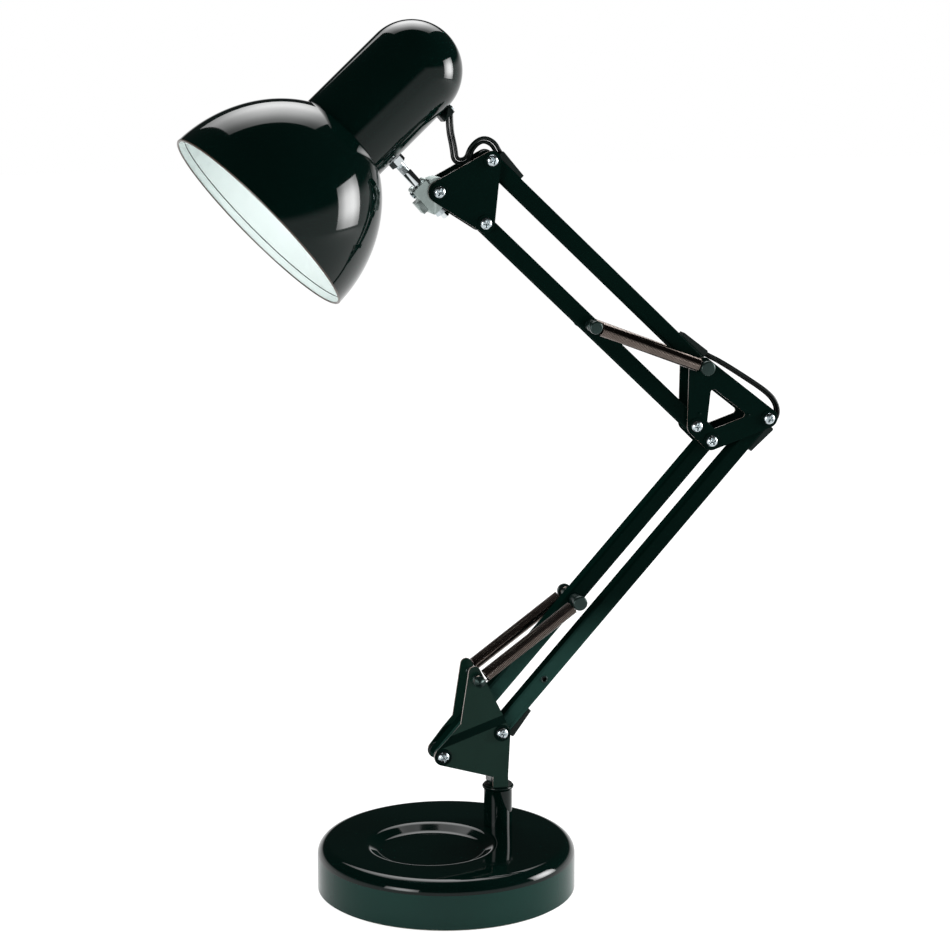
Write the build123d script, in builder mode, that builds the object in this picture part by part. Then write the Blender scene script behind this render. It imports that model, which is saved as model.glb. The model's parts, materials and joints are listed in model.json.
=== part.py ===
from build123d import *
import math
import os

os.makedirs("parts", exist_ok=True)

# Swing arm desk lamp. +Z is up and the origin is at the middle of the base's underside. The arms
# lie in a plane parallel to XZ, the shade towards -X and the elbow towards +X.

# ---- Driving dimensions, in millimetres and degrees ----
# Base
base_radius = 90.0
base_height = 34.0
base_edge_radius = 9.0
cover_wall = 1.2
cover_lift = 1.0
pad_thickness = 2.0
inside_gap = 0.3
tray_offset = 14.1
tray_radius = 44.5
tray_floor_radius = 36.0
tray_depth = 5.0
tray_blend = 8.0
tube_seat_height = 16.0
cord_channel_width = 9.0
gland_height = 9.0
gland_radius = 4.0
gland_bore_radius = 2.6
gland_flange_radius = 6.5
gland_flange = 1.5
gland_length = 8.0

# Stem and its bush
stem_x = 43.8
arm_y = 22.5
stem_radius = 10.0
stem_wall = 1.5
stem_rise = 29.0
stem_lip_radius = 11.2
stem_lip_height = 2.4
bush_length = 20.0
bush_flange = 0.8
pin_radius = 7.0
pin_bore_radius = 4.2
pin_length = 34.0
running_gap = 0.05
side_gap = 0.1
seat_gap = 0.3

# Linkage pivots
pivot_height = 103.6
fork_pitch = 44.9
fork_angle = 18.43
lower_angle = 47.85
lower_length = 291.0
elbow_offset = 15.84
elbow_offset_angle = 135.5
elbow_pitch = 42.37
elbow_angle = 84.11
upper_angle = 136.36
upper_length = 212.1
head_pivot_pitch = 39.02
head_pivot_angle = 145.86

# Bars, plates and pivot hardware
bar_width = 11.5
bar_wall = 1.0
bar_corner = 1.8
plate_inner = 8.75
plate_thickness = 1.5
screw_radius = 2.5
screw_head_radius = 4.25
screw_head_height = 2.6
recess_length = 4.8
recess_width = 1.0
recess_depth = 1.2
ring_radius = 5.9
ring_thickness = 0.8
nut_width = 8.0
nut_height = 4.0
bush_radius = 3.5

# Fork
fork_ear_radius = 6.3
fork_tip = (-20.4, 46.2)
fork_tip_radius = 4.2
fork_shoulder = (-29.2, 8.6)
fork_shoulder_radius = 1.2
fork_step = 2.0
fork_step_width = 7.0
tongue_left = 6.3
tongue_right = 4.7
web_top_drop = 16.0
neck_height = 9.0
stud_offset = (-18.3, 40.9)

# Springs and their posts
spring_plane = 15.65
spring_radius = 4.8
spring_wall = 1.2
wire_radius = 0.6
shank_inset = 0.1
post_shoulder_radius = 4.0
post_groove_radius = 2.5
post_head_radius = 4.6
post_head_height = 3.5
groove_width = 3.5
top_post_head_radius = 5.25
hook_reach = 5.8
lower_post_distance = 144.0
upper_post_distance = 107.0

# Flex and its guides
flex_radius = 1.5
guide_width = 9.0
guide_start = 2.5
guide_length = 22.5
guide_height = 5.1
guide_end_height = 2.7
guide_roof = 1.0
guide_corner = 1.2
slot_width = 5.0
flex_entry_height = 8.1
flex_dip = 9.0
flex_dip_height = 7.2
flex_inside = 24.0
rivet_distance = 48.0
rivet_hole_radius = 1.8

# Elbow and head plates
elbow_ear_radius = 6.8
elbow_post_ear_radius = 6.4
elbow_wing = (-6.4, -1.5)
elbow_wing_radius = 4.2
window_wall = 7.6
window_corner = 2.2
head_ear_radius = 6.5
knuckle_ear_radius = 7.5

# Knuckle
knuckle_width = 16.9
knuckle_radius = 9.5
boss_half_width = 6.6
boss_length = 21.6
boss_top = 11.9
boss_corner = 1.5
lug_reach = 10.5
lug_length = 9.0
lug_width = 10.0
lug_top = 3.9
clamp_head_radius = 2.4
clamp_head_height = 1.8

# Head
head_angle = 42.2
head_reach = 69.5
rod_offset = 6.2
head_swivel = 4.8
rod_radius = 3.5
rod_foot_radius = 2.6
rod_foot_start = 7.4
rod_foot_length = 30.0
rod_nut_width = 10.0
rod_nut_height = 4.6
rim_distance = 97.0
shade_radius = 75.0
bowl_depth = 80.0
bowl_fullness = 1.91
shade_wall = 1.0
rim_bead_radius = 0.9
cap_radius = 34.0
cap_length = 66.0
holder_radius = 18.5
holder_bore_radius = 13.2
holder_bore_depth = 30.0
holder_floor = 6.0
holder_mouth = 8.0
holder_shoulder_radius = 23.0
holder_shoulder = 3.0
holder_opening_radius = 18.8
clamp_ring_radius = 22.5
clamp_ring_height = 4.0
contact_radius = 4.0
contact_height = 1.5
grip_length = 10.0
grip_width = 10.0
grip_height = 5.5
grip_set_back = 2.5
grip_bore_offset = 1.5
grip_bore_depth = 2.5
grip_screw_radius = 2.1
grip_screw_height = 1.6

# ---- Derived values ----
base_top = base_height
lip_top = base_top + stem_rise
plate_outer = plate_inner + plate_thickness
ring_outer = plate_outer + ring_thickness
bar_half = bar_width / 2
post_shoulder_end = spring_plane - groove_width / 2
post_groove_end = spring_plane + groove_width / 2
post_end = post_groove_end + post_head_height
tray_heading = math.atan2(arm_y, stem_x)
tray_center = (-tray_offset * math.cos(tray_heading), -tray_offset * math.sin(tray_heading))


def along(start, angle, distance, left=0.0):
    """Point in the arm plane at a distance along an angle from start, stepped to its left."""
    turn = math.radians(angle)
    x = start[0] + distance * math.cos(turn) - left * math.sin(turn)
    z = start[1] + distance * math.sin(turn) + left * math.cos(turn)
    return (x, z)


def shifted(point, step):
    """Point moved by a step in the arm plane."""
    return (point[0] + step[0], point[1] + step[1])


def in_space(point, back=0.0):
    """Point of the arm plane in space, moved towards +Y."""
    return (point[0], arm_y + back, point[1])


def arm_plane(front):
    """Plane parallel to the arms, a distance in front of their middle, facing the front."""
    return Plane.XZ.offset(front - arm_y)


# Pivots of the linkage, in the arm plane
fork_right = (stem_x, pivot_height)
fork_left = along(fork_right, fork_angle + 180, fork_pitch)
elbow_left = along(fork_left, lower_angle, lower_length)
elbow_right = along(fork_right, lower_angle, lower_length)
elbow_low = along(elbow_left, elbow_offset_angle, elbow_offset)
elbow_top = along(elbow_low, elbow_angle, elbow_pitch)
head_low = along(elbow_low, upper_angle, upper_length)
head_top = along(elbow_top, upper_angle, upper_length)
tilt_pivot = along(head_low, head_pivot_angle, head_pivot_pitch)
fork_stud = shifted(fork_right, stud_offset)
lower_post = along(fork_left, lower_angle, lower_post_distance)
upper_post = along(elbow_low, upper_angle, upper_post_distance)

# Axes of the head: the shade axis points back, from the rim to the cap, and the rod axis up
head_middle = along(tilt_pivot, head_angle, -rod_offset, head_reach)
back_flat = Vector(math.cos(math.radians(head_angle)), 0, math.sin(math.radians(head_angle)))
rod_up = Vector(-math.sin(math.radians(head_angle)), 0, math.cos(math.radians(head_angle)))
swivel = math.radians(head_swivel)
shade_back = back_flat * math.cos(swivel) + Vector(0, 1, 0) * math.sin(swivel)
head_plane = Plane(
    origin=in_space(head_middle), x_dir=shade_back, z_dir=shade_back.cross(rod_up)
)
shade_axis = Axis(head_plane.origin, shade_back)
bowl_end = bowl_depth - rim_distance
cap_end = bowl_end + cap_length


def rod_plane(height):
    """Plane across the rod at a height above the shade axis."""
    return Plane(origin=head_plane.origin + rod_up * height, x_dir=shade_back, z_dir=rod_up)


def shade_plane(distance):
    """Plane across the shade axis at a distance behind the rod."""
    return Plane(origin=head_plane.origin + shade_back * distance, x_dir=rod_up, z_dir=shade_back)


def disc_hull(plane, discs):
    """Outline drawn tightly round discs given as (point, radius)."""
    with BuildSketch(plane) as outline:
        for point, radius in discs:
            with Locations(point):
                Circle(radius)
        make_hull()
    return outline.sketch


# ---- Base ----
def tray_plug(drop):
    """Dish that fills the tray, its surface lowered by drop."""
    with BuildPart() as plug:
        with BuildSketch(Plane.XZ):
            with BuildLine():
                Polyline(
                    (0, base_top + cover_wall),
                    (0, base_top - tray_depth - drop),
                    (tray_floor_radius, base_top - tray_depth - drop),
                    (tray_radius, base_top - drop),
                    (tray_radius, base_top + cover_wall),
                    close=True,
                )
            make_face()
        revolve(axis=Axis.Z)
    return plug.part.moved(Location((*tray_center, 0)))


with BuildPart() as cover_cavity:
    with BuildSketch(Plane.XY.offset(cover_lift)):
        Circle(base_radius - cover_wall)
    extrude(amount=base_height - cover_wall - cover_lift)
    fillet(cover_cavity.edges().group_by(Axis.Z)[-1], base_edge_radius - cover_wall)
    add(tray_plug(cover_wall), mode=Mode.SUBTRACT)

with BuildPart() as base_cover:
    with BuildSketch(Plane.XY.offset(cover_lift)):
        Circle(base_radius)
    extrude(amount=base_height - cover_lift)
    fillet(base_cover.edges().group_by(Axis.Z)[-1], base_edge_radius)
    add(tray_plug(0), mode=Mode.SUBTRACT)
    tray_edges = base_cover.edges().filter_by(
        lambda edge: edge.geom_type == GeomType.CIRCLE
        and abs(edge.arc_center.X - tray_center[0]) < 1
    )
    fillet(tray_edges, tray_blend)
    add(cover_cavity.part, mode=Mode.SUBTRACT)
    with BuildSketch(Plane.XY.offset(base_height - 2 * cover_wall)):
        with Locations((stem_x, arm_y)):
            Circle(stem_radius + running_gap)
    extrude(amount=3 * cover_wall, mode=Mode.SUBTRACT)
    with BuildSketch(Plane.XZ.offset(-base_radius + 3 * cover_wall)):
        with Locations((0, gland_height)):
            Circle(gland_radius + running_gap)
    extrude(amount=-6 * cover_wall, mode=Mode.SUBTRACT)

weight_radius = base_radius - cover_wall - inside_gap
weight_top = base_top - tray_depth - cover_wall - inside_gap
with BuildPart() as base_weight:
    with BuildSketch(Plane.XY.offset(pad_thickness)):
        Circle(weight_radius)
    extrude(amount=weight_top - pad_thickness)
    fillet(base_weight.edges().group_by(Axis.Z)[-1], base_edge_radius - cover_wall)
    with BuildSketch(Plane.XY.offset(pad_thickness)):
        with Locations((stem_x, arm_y)):
            Circle(stem_radius - stem_wall)
    extrude(amount=weight_top, mode=Mode.SUBTRACT)
    with BuildSketch(Plane.XY.offset(tube_seat_height)):
        with Locations((stem_x, arm_y)):
            Circle(stem_radius + running_gap)
    extrude(amount=weight_top, mode=Mode.SUBTRACT)
    with BuildSketch(Plane.XY.offset(pad_thickness)):
        with BuildLine():
            Line((stem_x, arm_y), (0, base_radius - gland_length - gland_flange_radius))
            Line(
                (0, base_radius - gland_length - gland_flange_radius),
                (0, base_radius + gland_flange),
            )
        trace(line_width=cord_channel_width)
    extrude(amount=gland_height + gland_radius + inside_gap - pad_thickness, mode=Mode.SUBTRACT)

with BuildPart() as base_pad:
    with BuildSketch():
        Circle(weight_radius)
    extrude(amount=pad_thickness)

with BuildPart() as cord_gland:
    with BuildSketch(Plane.XZ.offset(-base_radius - gland_flange)):
        with Locations((0, gland_height)):
            Circle(gland_flange_radius)
    extrude(amount=gland_flange)
    with BuildSketch(Plane.XZ.offset(-base_radius)):
        with Locations((0, gland_height)):
            Circle(gland_radius)
    extrude(amount=gland_length)
    fillet(cord_gland.edges().group_by(Axis.Y)[-1], gland_flange / 2)
    with BuildSketch(Plane.XZ.offset(-base_radius - gland_flange)):
        with Locations((0, gland_height)):
            Circle(gland_bore_radius)
    extrude(amount=gland_length + gland_flange, mode=Mode.SUBTRACT)

# ---- Stem ----
with BuildPart() as stem_tube:
    with BuildSketch(Plane.XY.offset(tube_seat_height)):
        with Locations((stem_x, arm_y)):
            Circle(stem_radius)
    extrude(amount=lip_top - tube_seat_height)
    with BuildSketch(Plane.XY.offset(lip_top - stem_lip_height)):
        with Locations((stem_x, arm_y)):
            Circle(stem_lip_radius)
    extrude(amount=stem_lip_height)
    chamfer(
        stem_tube.faces().sort_by(Axis.Z)[-1].edges(), (stem_lip_radius - stem_radius) / 4
    )
    lip_under = stem_tube.edges().filter_by(GeomType.CIRCLE).filter_by_position(
        Axis.Z, lip_top - stem_lip_height, lip_top - stem_lip_height
    )
    chamfer(lip_under.sort_by(SortBy.RADIUS)[-1], (stem_lip_radius - stem_radius) * 0.9)
    with BuildSketch(Plane.XY.offset(tube_seat_height)):
        with Locations((stem_x, arm_y)):
            Circle(stem_radius - stem_wall)
    extrude(amount=lip_top, mode=Mode.SUBTRACT)

bush_outer = stem_radius - stem_wall - running_gap
with BuildPart() as stem_bush:
    with BuildSketch(Plane.XY.offset(lip_top - bush_length)):
        with Locations((stem_x, arm_y)):
            Circle(bush_outer)
    extrude(amount=bush_length)
    with BuildSketch(Plane.XY.offset(lip_top)):
        with Locations((stem_x, arm_y)):
            Circle(stem_radius)
    extrude(amount=bush_flange)
    with BuildSketch(Plane.XY.offset(lip_top - bush_length)):
        with Locations((stem_x, arm_y)):
            Circle(pin_radius + running_gap)
    extrude(amount=bush_length + bush_flange, mode=Mode.SUBTRACT)

# ---- Fork ----
neck_bottom = lip_top + bush_flange + side_gap
neck_top = neck_bottom + neck_height
with BuildPart() as fork_pin:
    with BuildSketch(Plane.XY.offset(neck_bottom - pin_length)):
        with Locations((stem_x, arm_y)):
            Circle(pin_radius)
    extrude(amount=pin_length)
    with BuildSketch(arm_plane(-plate_inner)):
        with BuildLine():
            Polyline(
                (stem_x - tongue_left, neck_bottom),
                (stem_x + tongue_right - plate_thickness, neck_bottom),
                (stem_x + tongue_right - plate_thickness, neck_top),
                (stem_x - tongue_left, neck_top),
                close=True,
            )
        make_face()
    extrude(amount=2 * plate_inner)
    with BuildSketch(Plane.XY.offset(neck_bottom - pin_length)):
        with Locations((stem_x, arm_y)):
            Circle(pin_bore_radius)
    extrude(amount=pin_length + neck_height, mode=Mode.SUBTRACT)

with BuildPart() as pin_collar:
    with BuildSketch(Plane.XY.offset(neck_bottom - pin_length)):
        with Locations((stem_x, arm_y)):
            Circle(bush_outer - side_gap)
            Circle(pin_radius + running_gap / 2, mode=Mode.SUBTRACT)
    extrude(amount=pin_length - bush_length - bush_flange - seat_gap)

fork_discs = {
    "left": (fork_left, fork_ear_radius),
    "right": (fork_right, fork_ear_radius),
    "tip": (shifted(fork_right, fork_tip), fork_tip_radius),
    "shoulder": (shifted(fork_right, fork_shoulder), fork_shoulder_radius),
    "tongue_left": ((stem_x - tongue_left + plate_thickness, neck_top), plate_thickness),
    "tongue_right": ((stem_x + tongue_right - plate_thickness, neck_top), plate_thickness),
}
fork_sheet = Plane(
    origin=in_space(fork_left),
    x_dir=(0, -1, 0),
    z_dir=(-math.cos(math.radians(fork_angle)), 0, -math.sin(math.radians(fork_angle))),
)
fork_step_start = ring_radius + side_gap
fork_step_end = fork_step_start + fork_step_width
step_outer = plate_outer + fork_step
step_inner = plate_inner + fork_step
with BuildPart() as fork_bracket:
    blank = arm_plane(-step_outer)
    extrude(disc_hull(blank, [fork_discs[k] for k in ("tip", "shoulder", "right")]), 2 * step_outer)
    extrude(disc_hull(blank, [fork_discs[k] for k in ("left", "shoulder", "right")]), 2 * step_outer)
    extrude(
        disc_hull(blank, [fork_discs[k] for k in ("left", "right", "tongue_left", "tongue_right")]),
        2 * step_outer,
    )
    with BuildSketch(blank):
        with BuildLine():
            Polyline(
                (stem_x - tongue_left, neck_bottom),
                (stem_x + tongue_right, neck_bottom),
                (stem_x + tongue_right, fork_right[1] - fork_ear_radius),
                (stem_x - tongue_left, fork_right[1] - fork_ear_radius),
                close=True,
            )
        make_face()
    extrude(amount=2 * step_outer)
    with BuildSketch(fork_sheet):
        for side in (1, -1):
            with BuildLine():
                Polyline(
                    (side * plate_inner, -fork_pitch),
                    (side * plate_outer, -fork_pitch),
                    (side * plate_outer, fork_step_start),
                    (side * step_outer, fork_step_end),
                    (side * step_outer, 2 * fork_pitch),
                    (side * step_inner, 2 * fork_pitch),
                    (side * step_inner, fork_step_end),
                    (side * plate_inner, fork_step_start),
                    close=True,
                )
            make_face()
    extrude(amount=2 * fork_pitch, both=True, mode=Mode.INTERSECT)
    with BuildSketch(arm_plane(-plate_outer)):
        with BuildLine():
            Polyline(
                (stem_x + tongue_right - plate_thickness, neck_bottom),
                (stem_x + tongue_right, neck_bottom),
                (stem_x + tongue_right, fork_right[1] - web_top_drop),
                (stem_x + tongue_right - plate_thickness, fork_right[1] - web_top_drop),
                close=True,
            )
        make_face()
    extrude(amount=2 * plate_outer)
    with BuildSketch(arm_plane(-step_outer)):
        with Locations(fork_left, fork_right):
            Circle(screw_radius + running_gap)
        with Locations(fork_stud):
            Circle(post_groove_radius)
    extrude(amount=2 * step_outer, mode=Mode.SUBTRACT)


def pivot_screws(pivots):
    """Screws through both plates at the pivots, with a cross recess in each pan head."""
    with BuildPart() as screws:
        with BuildSketch(arm_plane(-ring_outer - nut_height - bar_wall)):
            with Locations(*pivots):
                Circle(screw_radius)
        extrude(amount=2 * ring_outer + nut_height + bar_wall)
        with BuildSketch(arm_plane(ring_outer)):
            with Locations(*pivots):
                Circle(screw_head_radius)
        extrude(amount=screw_head_height)
        fillet(screws.edges().group_by(Axis.Y)[0], screw_head_height * 0.7)
        with BuildSketch(arm_plane(ring_outer + screw_head_height)):
            with Locations(*pivots):
                Rectangle(recess_length, recess_width)
                Rectangle(recess_width, recess_length)
        extrude(amount=-recess_depth, mode=Mode.SUBTRACT)
    return screws


def pivot_rings(pivots):
    """Washers between the plates and the heads, and between the plates and the nuts."""
    with BuildPart() as rings:
        for start in (plate_outer, -ring_outer):
            with BuildSketch(arm_plane(start)):
                with Locations(*pivots):
                    Circle(ring_radius)
                    Circle(screw_radius + running_gap, mode=Mode.SUBTRACT)
            extrude(amount=ring_thickness)
    return rings


def pivot_nuts(pivots):
    """Hexagon nuts behind the rear washers."""
    with BuildPart() as nuts:
        with BuildSketch(arm_plane(-ring_outer - nut_height)):
            with Locations(*pivots):
                RegularPolygon(nut_width / math.sqrt(3), 6)
                Circle(screw_radius, mode=Mode.SUBTRACT)
        extrude(amount=nut_height)
    return nuts


def bar_bushes(pivots, pin, barrel):
    """Flanged half bushes, one in each side wall of a bar at each pivot."""
    with BuildPart() as bushes:
        for side in (1, -1):
            with BuildSketch(arm_plane(side * side_gap)):
                with Locations(*pivots):
                    Circle(barrel)
            extrude(amount=side * (bar_half - side_gap))
            with BuildSketch(arm_plane(side * bar_half)):
                with Locations(*pivots):
                    Circle(bar_half)
            extrude(amount=side * (plate_inner - side_gap - bar_half))
        with BuildSketch(arm_plane(-plate_inner)):
            with Locations(*pivots):
                Circle(pin + running_gap)
        extrude(amount=2 * plate_inner, mode=Mode.SUBTRACT)
    return bushes


def bar_plane(start, angle, front=0.0):
    """Plane along a bar: local X runs along it and local Y to its left."""
    turn = math.radians(angle)
    return Plane(
        origin=(start[0], arm_y - front, start[1]),
        x_dir=(math.cos(turn), 0, math.sin(turn)),
        z_dir=(0, -1, 0),
    )


def square_bar(start, angle, length, holes, outer=0, front_holes=()):
    """Square tube with rounded ends. Outer (1 left, -1 right) has slots for the flex."""
    with BuildPart() as bar:
        with BuildSketch(bar_plane(start, angle, -bar_half)):
            with Locations((length / 2, 0)):
                SlotCenterToCenter(length, bar_width)
        extrude(amount=bar_width)
        straight = bar.edges().filter_by(Axis(in_space(start), bar_plane(start, angle).x_dir))
        fillet(straight, bar_corner)
        hollow = bar_width - 2 * bar_wall
        with BuildSketch(bar_plane(start, angle, -hollow / 2)):
            with Locations((length / 2, 0)):
                Rectangle(length + 2 * bar_width, hollow)
        extrude(amount=hollow, mode=Mode.SUBTRACT)
        with BuildSketch(bar_plane(start, angle, -bar_half)):
            for distance, radius in holes:
                with Locations((distance, 0)):
                    Circle(radius + running_gap)
        extrude(amount=bar_width, mode=Mode.SUBTRACT)
        for distance in front_holes:
            with BuildSketch(bar_plane(start, angle, hollow / 2)):
                with Locations((distance, 0)):
                    Circle(rivet_hole_radius)
            extrude(amount=bar_wall, mode=Mode.SUBTRACT)
        if outer:
            with BuildSketch(bar_plane(start, angle, -slot_width / 2)):
                for middle in (guide_start + guide_length / 2, length - guide_start - guide_length / 2):
                    with Locations((middle, outer * bar_half)):
                        Rectangle(guide_length - bar_wall, 3 * bar_wall)
            extrude(amount=slot_width, mode=Mode.SUBTRACT)
    return bar


def cord_guides(start, angle, length, outer):
    """Hoods on the outer side of a bar, one at each end, that lead the flex into the bar."""
    with BuildPart() as guides:
        for origin, heading, side in (
            (start, angle, outer),
            (along(start, angle, length), angle + 180, -outer),
        ):
            with BuildSketch(bar_plane(origin, heading, -guide_width / 2)) as hood:
                with BuildLine():
                    Polyline(
                        (guide_start, side * bar_half),
                        (guide_start, side * (bar_half + guide_height)),
                        (guide_start + guide_length, side * (bar_half + guide_end_height)),
                        (guide_start + guide_length, side * bar_half),
                        close=True,
                    )
                make_face()
                outline = hood.vertices().sort_by(Axis((0, 0, 0), (0, side, 0)))
                fillet(outline[-1], guide_corner)
            extrude(amount=guide_width)
            with BuildSketch(bar_plane(origin, heading, -slot_width / 2)):
                with BuildLine():
                    Polyline(
                        (guide_start - bar_wall, side * (bar_half - bar_wall)),
                        (guide_start - bar_wall, side * (bar_half + guide_height - guide_roof)),
                        (
                            guide_start + guide_length / 3,
                            side * (bar_half + guide_height - 2 * guide_roof),
                        ),
                        (guide_start + guide_length - 2 * guide_roof, side * (bar_half - bar_wall)),
                        close=True,
                    )
                make_face()
            extrude(amount=slot_width, mode=Mode.SUBTRACT)
    return guides


def spring_post(point, head_radius, pin, inner):
    """Post through a bar or between plates, grooved at both ends for the spring hooks."""
    with BuildPart() as post:
        with BuildSketch(arm_plane(-post_end)):
            with Locations(point):
                Circle(post_groove_radius)
        extrude(amount=2 * post_end)
        with BuildSketch(arm_plane(-inner)):
            with Locations(point):
                Circle(pin)
        extrude(amount=2 * inner)
        for side in (1, -1):
            with BuildSketch(arm_plane(side * inner)):
                with Locations(point):
                    Circle(post_shoulder_radius)
            extrude(amount=side * (post_shoulder_end - inner))
            with BuildSketch(arm_plane(side * post_groove_end)):
                with Locations(point):
                    Circle(head_radius)
            extrude(amount=side * post_head_height)
        ends = post.edges().group_by(Axis.Y)
        fillet(ends[0] + ends[-1], post_head_height / 4)
    return post


# ---- Fork hardware ----
fork_screws = pivot_screws((fork_left, fork_right))
fork_rings = pivot_rings((fork_left, fork_right))
fork_nuts = pivot_nuts((fork_left, fork_right))

with BuildPart() as fork_studs:
    for side in (1, -1):
        with BuildSketch(arm_plane(side * step_inner)):
            with Locations(fork_stud):
                Circle(post_groove_radius - running_gap)
        extrude(amount=side * (post_end - step_inner))
        with BuildSketch(arm_plane(side * step_outer)):
            with Locations(fork_stud):
                Circle(post_shoulder_radius)
        extrude(amount=side * (post_shoulder_end - step_outer))
        with BuildSketch(arm_plane(side * post_groove_end)):
            with Locations(fork_stud):
                Circle(post_shoulder_radius)
        extrude(amount=side * post_head_height / 2)

# ---- Lower arm ----
lower_ends = ((0, bush_radius), (lower_length, bush_radius))
lower_bar_right = square_bar(
    fork_right, lower_angle, lower_length, lower_ends, -1, (rivet_distance,)
)
lower_bar_left = square_bar(
    fork_left, lower_angle, lower_length, lower_ends + ((lower_post_distance, bush_radius),)
)
lower_right_bushes = bar_bushes((fork_right, elbow_right), screw_radius, bush_radius)
lower_left_bushes = bar_bushes((fork_left, elbow_left), screw_radius, bush_radius)
lower_cord_guides = cord_guides(fork_right, lower_angle, lower_length, -1)
lower_spring_post = spring_post(lower_post, post_head_radius, bush_radius, bar_half)

# ---- Elbow ----
elbow_pivots = (elbow_low, elbow_left, elbow_right)
elbow_discs = [
    (elbow_low, elbow_ear_radius),
    (elbow_left, elbow_ear_radius),
    (elbow_right, elbow_ear_radius),
    (elbow_top, elbow_post_ear_radius),
    (shifted(elbow_top, elbow_wing), elbow_wing_radius),
]


def inset(corner, previous, following, wall):
    """Corner of a polygon moved inwards so that both its edges keep a wall."""
    to_previous = (Vector(*previous) - Vector(*corner)).normalized()
    to_following = (Vector(*following) - Vector(*corner)).normalized()
    bisector = (to_previous + to_following).normalized()
    half = math.radians(to_previous.get_angle(to_following) / 2)
    moved = Vector(*corner) + bisector * (wall / math.sin(half))
    return (moved.X, moved.Y)


window_ring = (elbow_top, elbow_right, elbow_left, elbow_low)
window_points = [
    inset(window_ring[i], window_ring[i - 1], window_ring[(i + 1) % 4], window_wall)
    for i in range(4)
]


def elbow_plate(start):
    """Elbow plate with its window, drawn from the pivots."""
    with BuildPart() as plate:
        extrude(disc_hull(arm_plane(start), elbow_discs), plate_thickness)
        with BuildSketch(arm_plane(start)) as window:
            with BuildLine():
                Polyline(*window_points, close=True)
            make_face()
            fillet(window.vertices(), window_corner)
        extrude(amount=plate_thickness, mode=Mode.SUBTRACT)
        with BuildSketch(arm_plane(start)):
            with Locations(*elbow_pivots):
                Circle(screw_radius + running_gap)
            with Locations(elbow_top):
                Circle(bush_radius + running_gap)
        extrude(amount=plate_thickness, mode=Mode.SUBTRACT)
    return plate


elbow_front_plate = elbow_plate(plate_inner)
elbow_rear_plate = elbow_plate(-plate_outer)
elbow_screws = pivot_screws(elbow_pivots)
elbow_rings = pivot_rings(elbow_pivots)
elbow_nuts = pivot_nuts(elbow_pivots)
elbow_post = spring_post(elbow_top, top_post_head_radius, bush_radius - running_gap, plate_outer)

# ---- Upper arm ----
upper_ends = ((0, bush_radius), (upper_length, bush_radius))
upper_top_ends = ((0, bush_radius + bar_wall), (upper_length, bush_radius))
upper_bar_top = square_bar(elbow_top, upper_angle, upper_length, upper_top_ends, -1)
upper_bar_bottom = square_bar(
    elbow_low, upper_angle, upper_length, upper_ends + ((upper_post_distance, bush_radius),)
)
upper_top_bushes = bar_bushes((head_top,), screw_radius, bush_radius)
elbow_top_bushes = bar_bushes((elbow_top,), bush_radius, bush_radius + bar_wall)
upper_bottom_bushes = bar_bushes((elbow_low, head_low), screw_radius, bush_radius)
upper_cord_guides = cord_guides(elbow_top, upper_angle, upper_length, -1)
upper_spring_post = spring_post(upper_post, post_head_radius, bush_radius, bar_half)


# ---- Springs ----
def tension_spring(first, second, front):
    """Closed-wound spring as its outer tube, with a crossbar, a shank and an eye at each end."""
    gap = math.dist(first, second)
    angle = math.degrees(math.atan2(second[1] - first[1], second[0] - first[0]))
    eye_radius = post_groove_radius + side_gap + wire_radius
    with BuildPart() as spring:
        end = along(first, angle, hook_reach)
        tube_end = Plane(
            origin=(end[0], arm_y - front, end[1]),
            z_dir=bar_plane(first, angle).x_dir,
            x_dir=(0, 1, 0),
        )
        tube_length = gap - 2 * hook_reach
        with BuildSketch(tube_end):
            Circle(spring_radius)
            Circle(spring_radius - spring_wall, mode=Mode.SUBTRACT)
        extrude(amount=tube_length)
        for start in (0, tube_length - 2 * wire_radius):
            with BuildSketch(tube_end.offset(start)):
                Rectangle(2 * wire_radius, 2 * spring_radius - spring_wall)
            extrude(amount=2 * wire_radius)
        for point, start, length in (
            (first, eye_radius - hook_reach, hook_reach - eye_radius),
            (second, tube_length, hook_reach - eye_radius),
        ):
            with BuildSketch(tube_end.offset(start)):
                Circle(wire_radius - shank_inset)
            extrude(amount=length)
            with BuildSketch(Plane(origin=(point[0], arm_y - front, point[1]), z_dir=(0, 0, 1))):
                with Locations((eye_radius, 0)):
                    Circle(wire_radius)
            revolve(axis=Axis((point[0], arm_y, point[1]), (0, 1, 0)))
    return spring


lower_spring_front = tension_spring(fork_stud, lower_post, spring_plane)
lower_spring_rear = tension_spring(fork_stud, lower_post, -spring_plane)
upper_spring_front = tension_spring(elbow_top, upper_post, spring_plane)
upper_spring_rear = tension_spring(elbow_top, upper_post, -spring_plane)

# ---- Head bracket ----
head_pivots = (head_top, head_low, tilt_pivot)
head_discs = [
    (head_top, head_ear_radius),
    (head_low, head_ear_radius),
    (tilt_pivot, knuckle_ear_radius),
]


def head_plate(start):
    """Triangular plate that joins the upper bars and the knuckle."""
    with BuildPart() as plate:
        extrude(disc_hull(arm_plane(start), head_discs), plate_thickness)
        with BuildSketch(arm_plane(start)):
            with Locations(*head_pivots):
                Circle(screw_radius + running_gap)
        extrude(amount=plate_thickness, mode=Mode.SUBTRACT)
    return plate


head_front_plate = head_plate(plate_inner)
head_rear_plate = head_plate(-plate_outer)
head_screws = pivot_screws(head_pivots)
head_rings = pivot_rings(head_pivots)
head_nuts = pivot_nuts(head_pivots)

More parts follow.
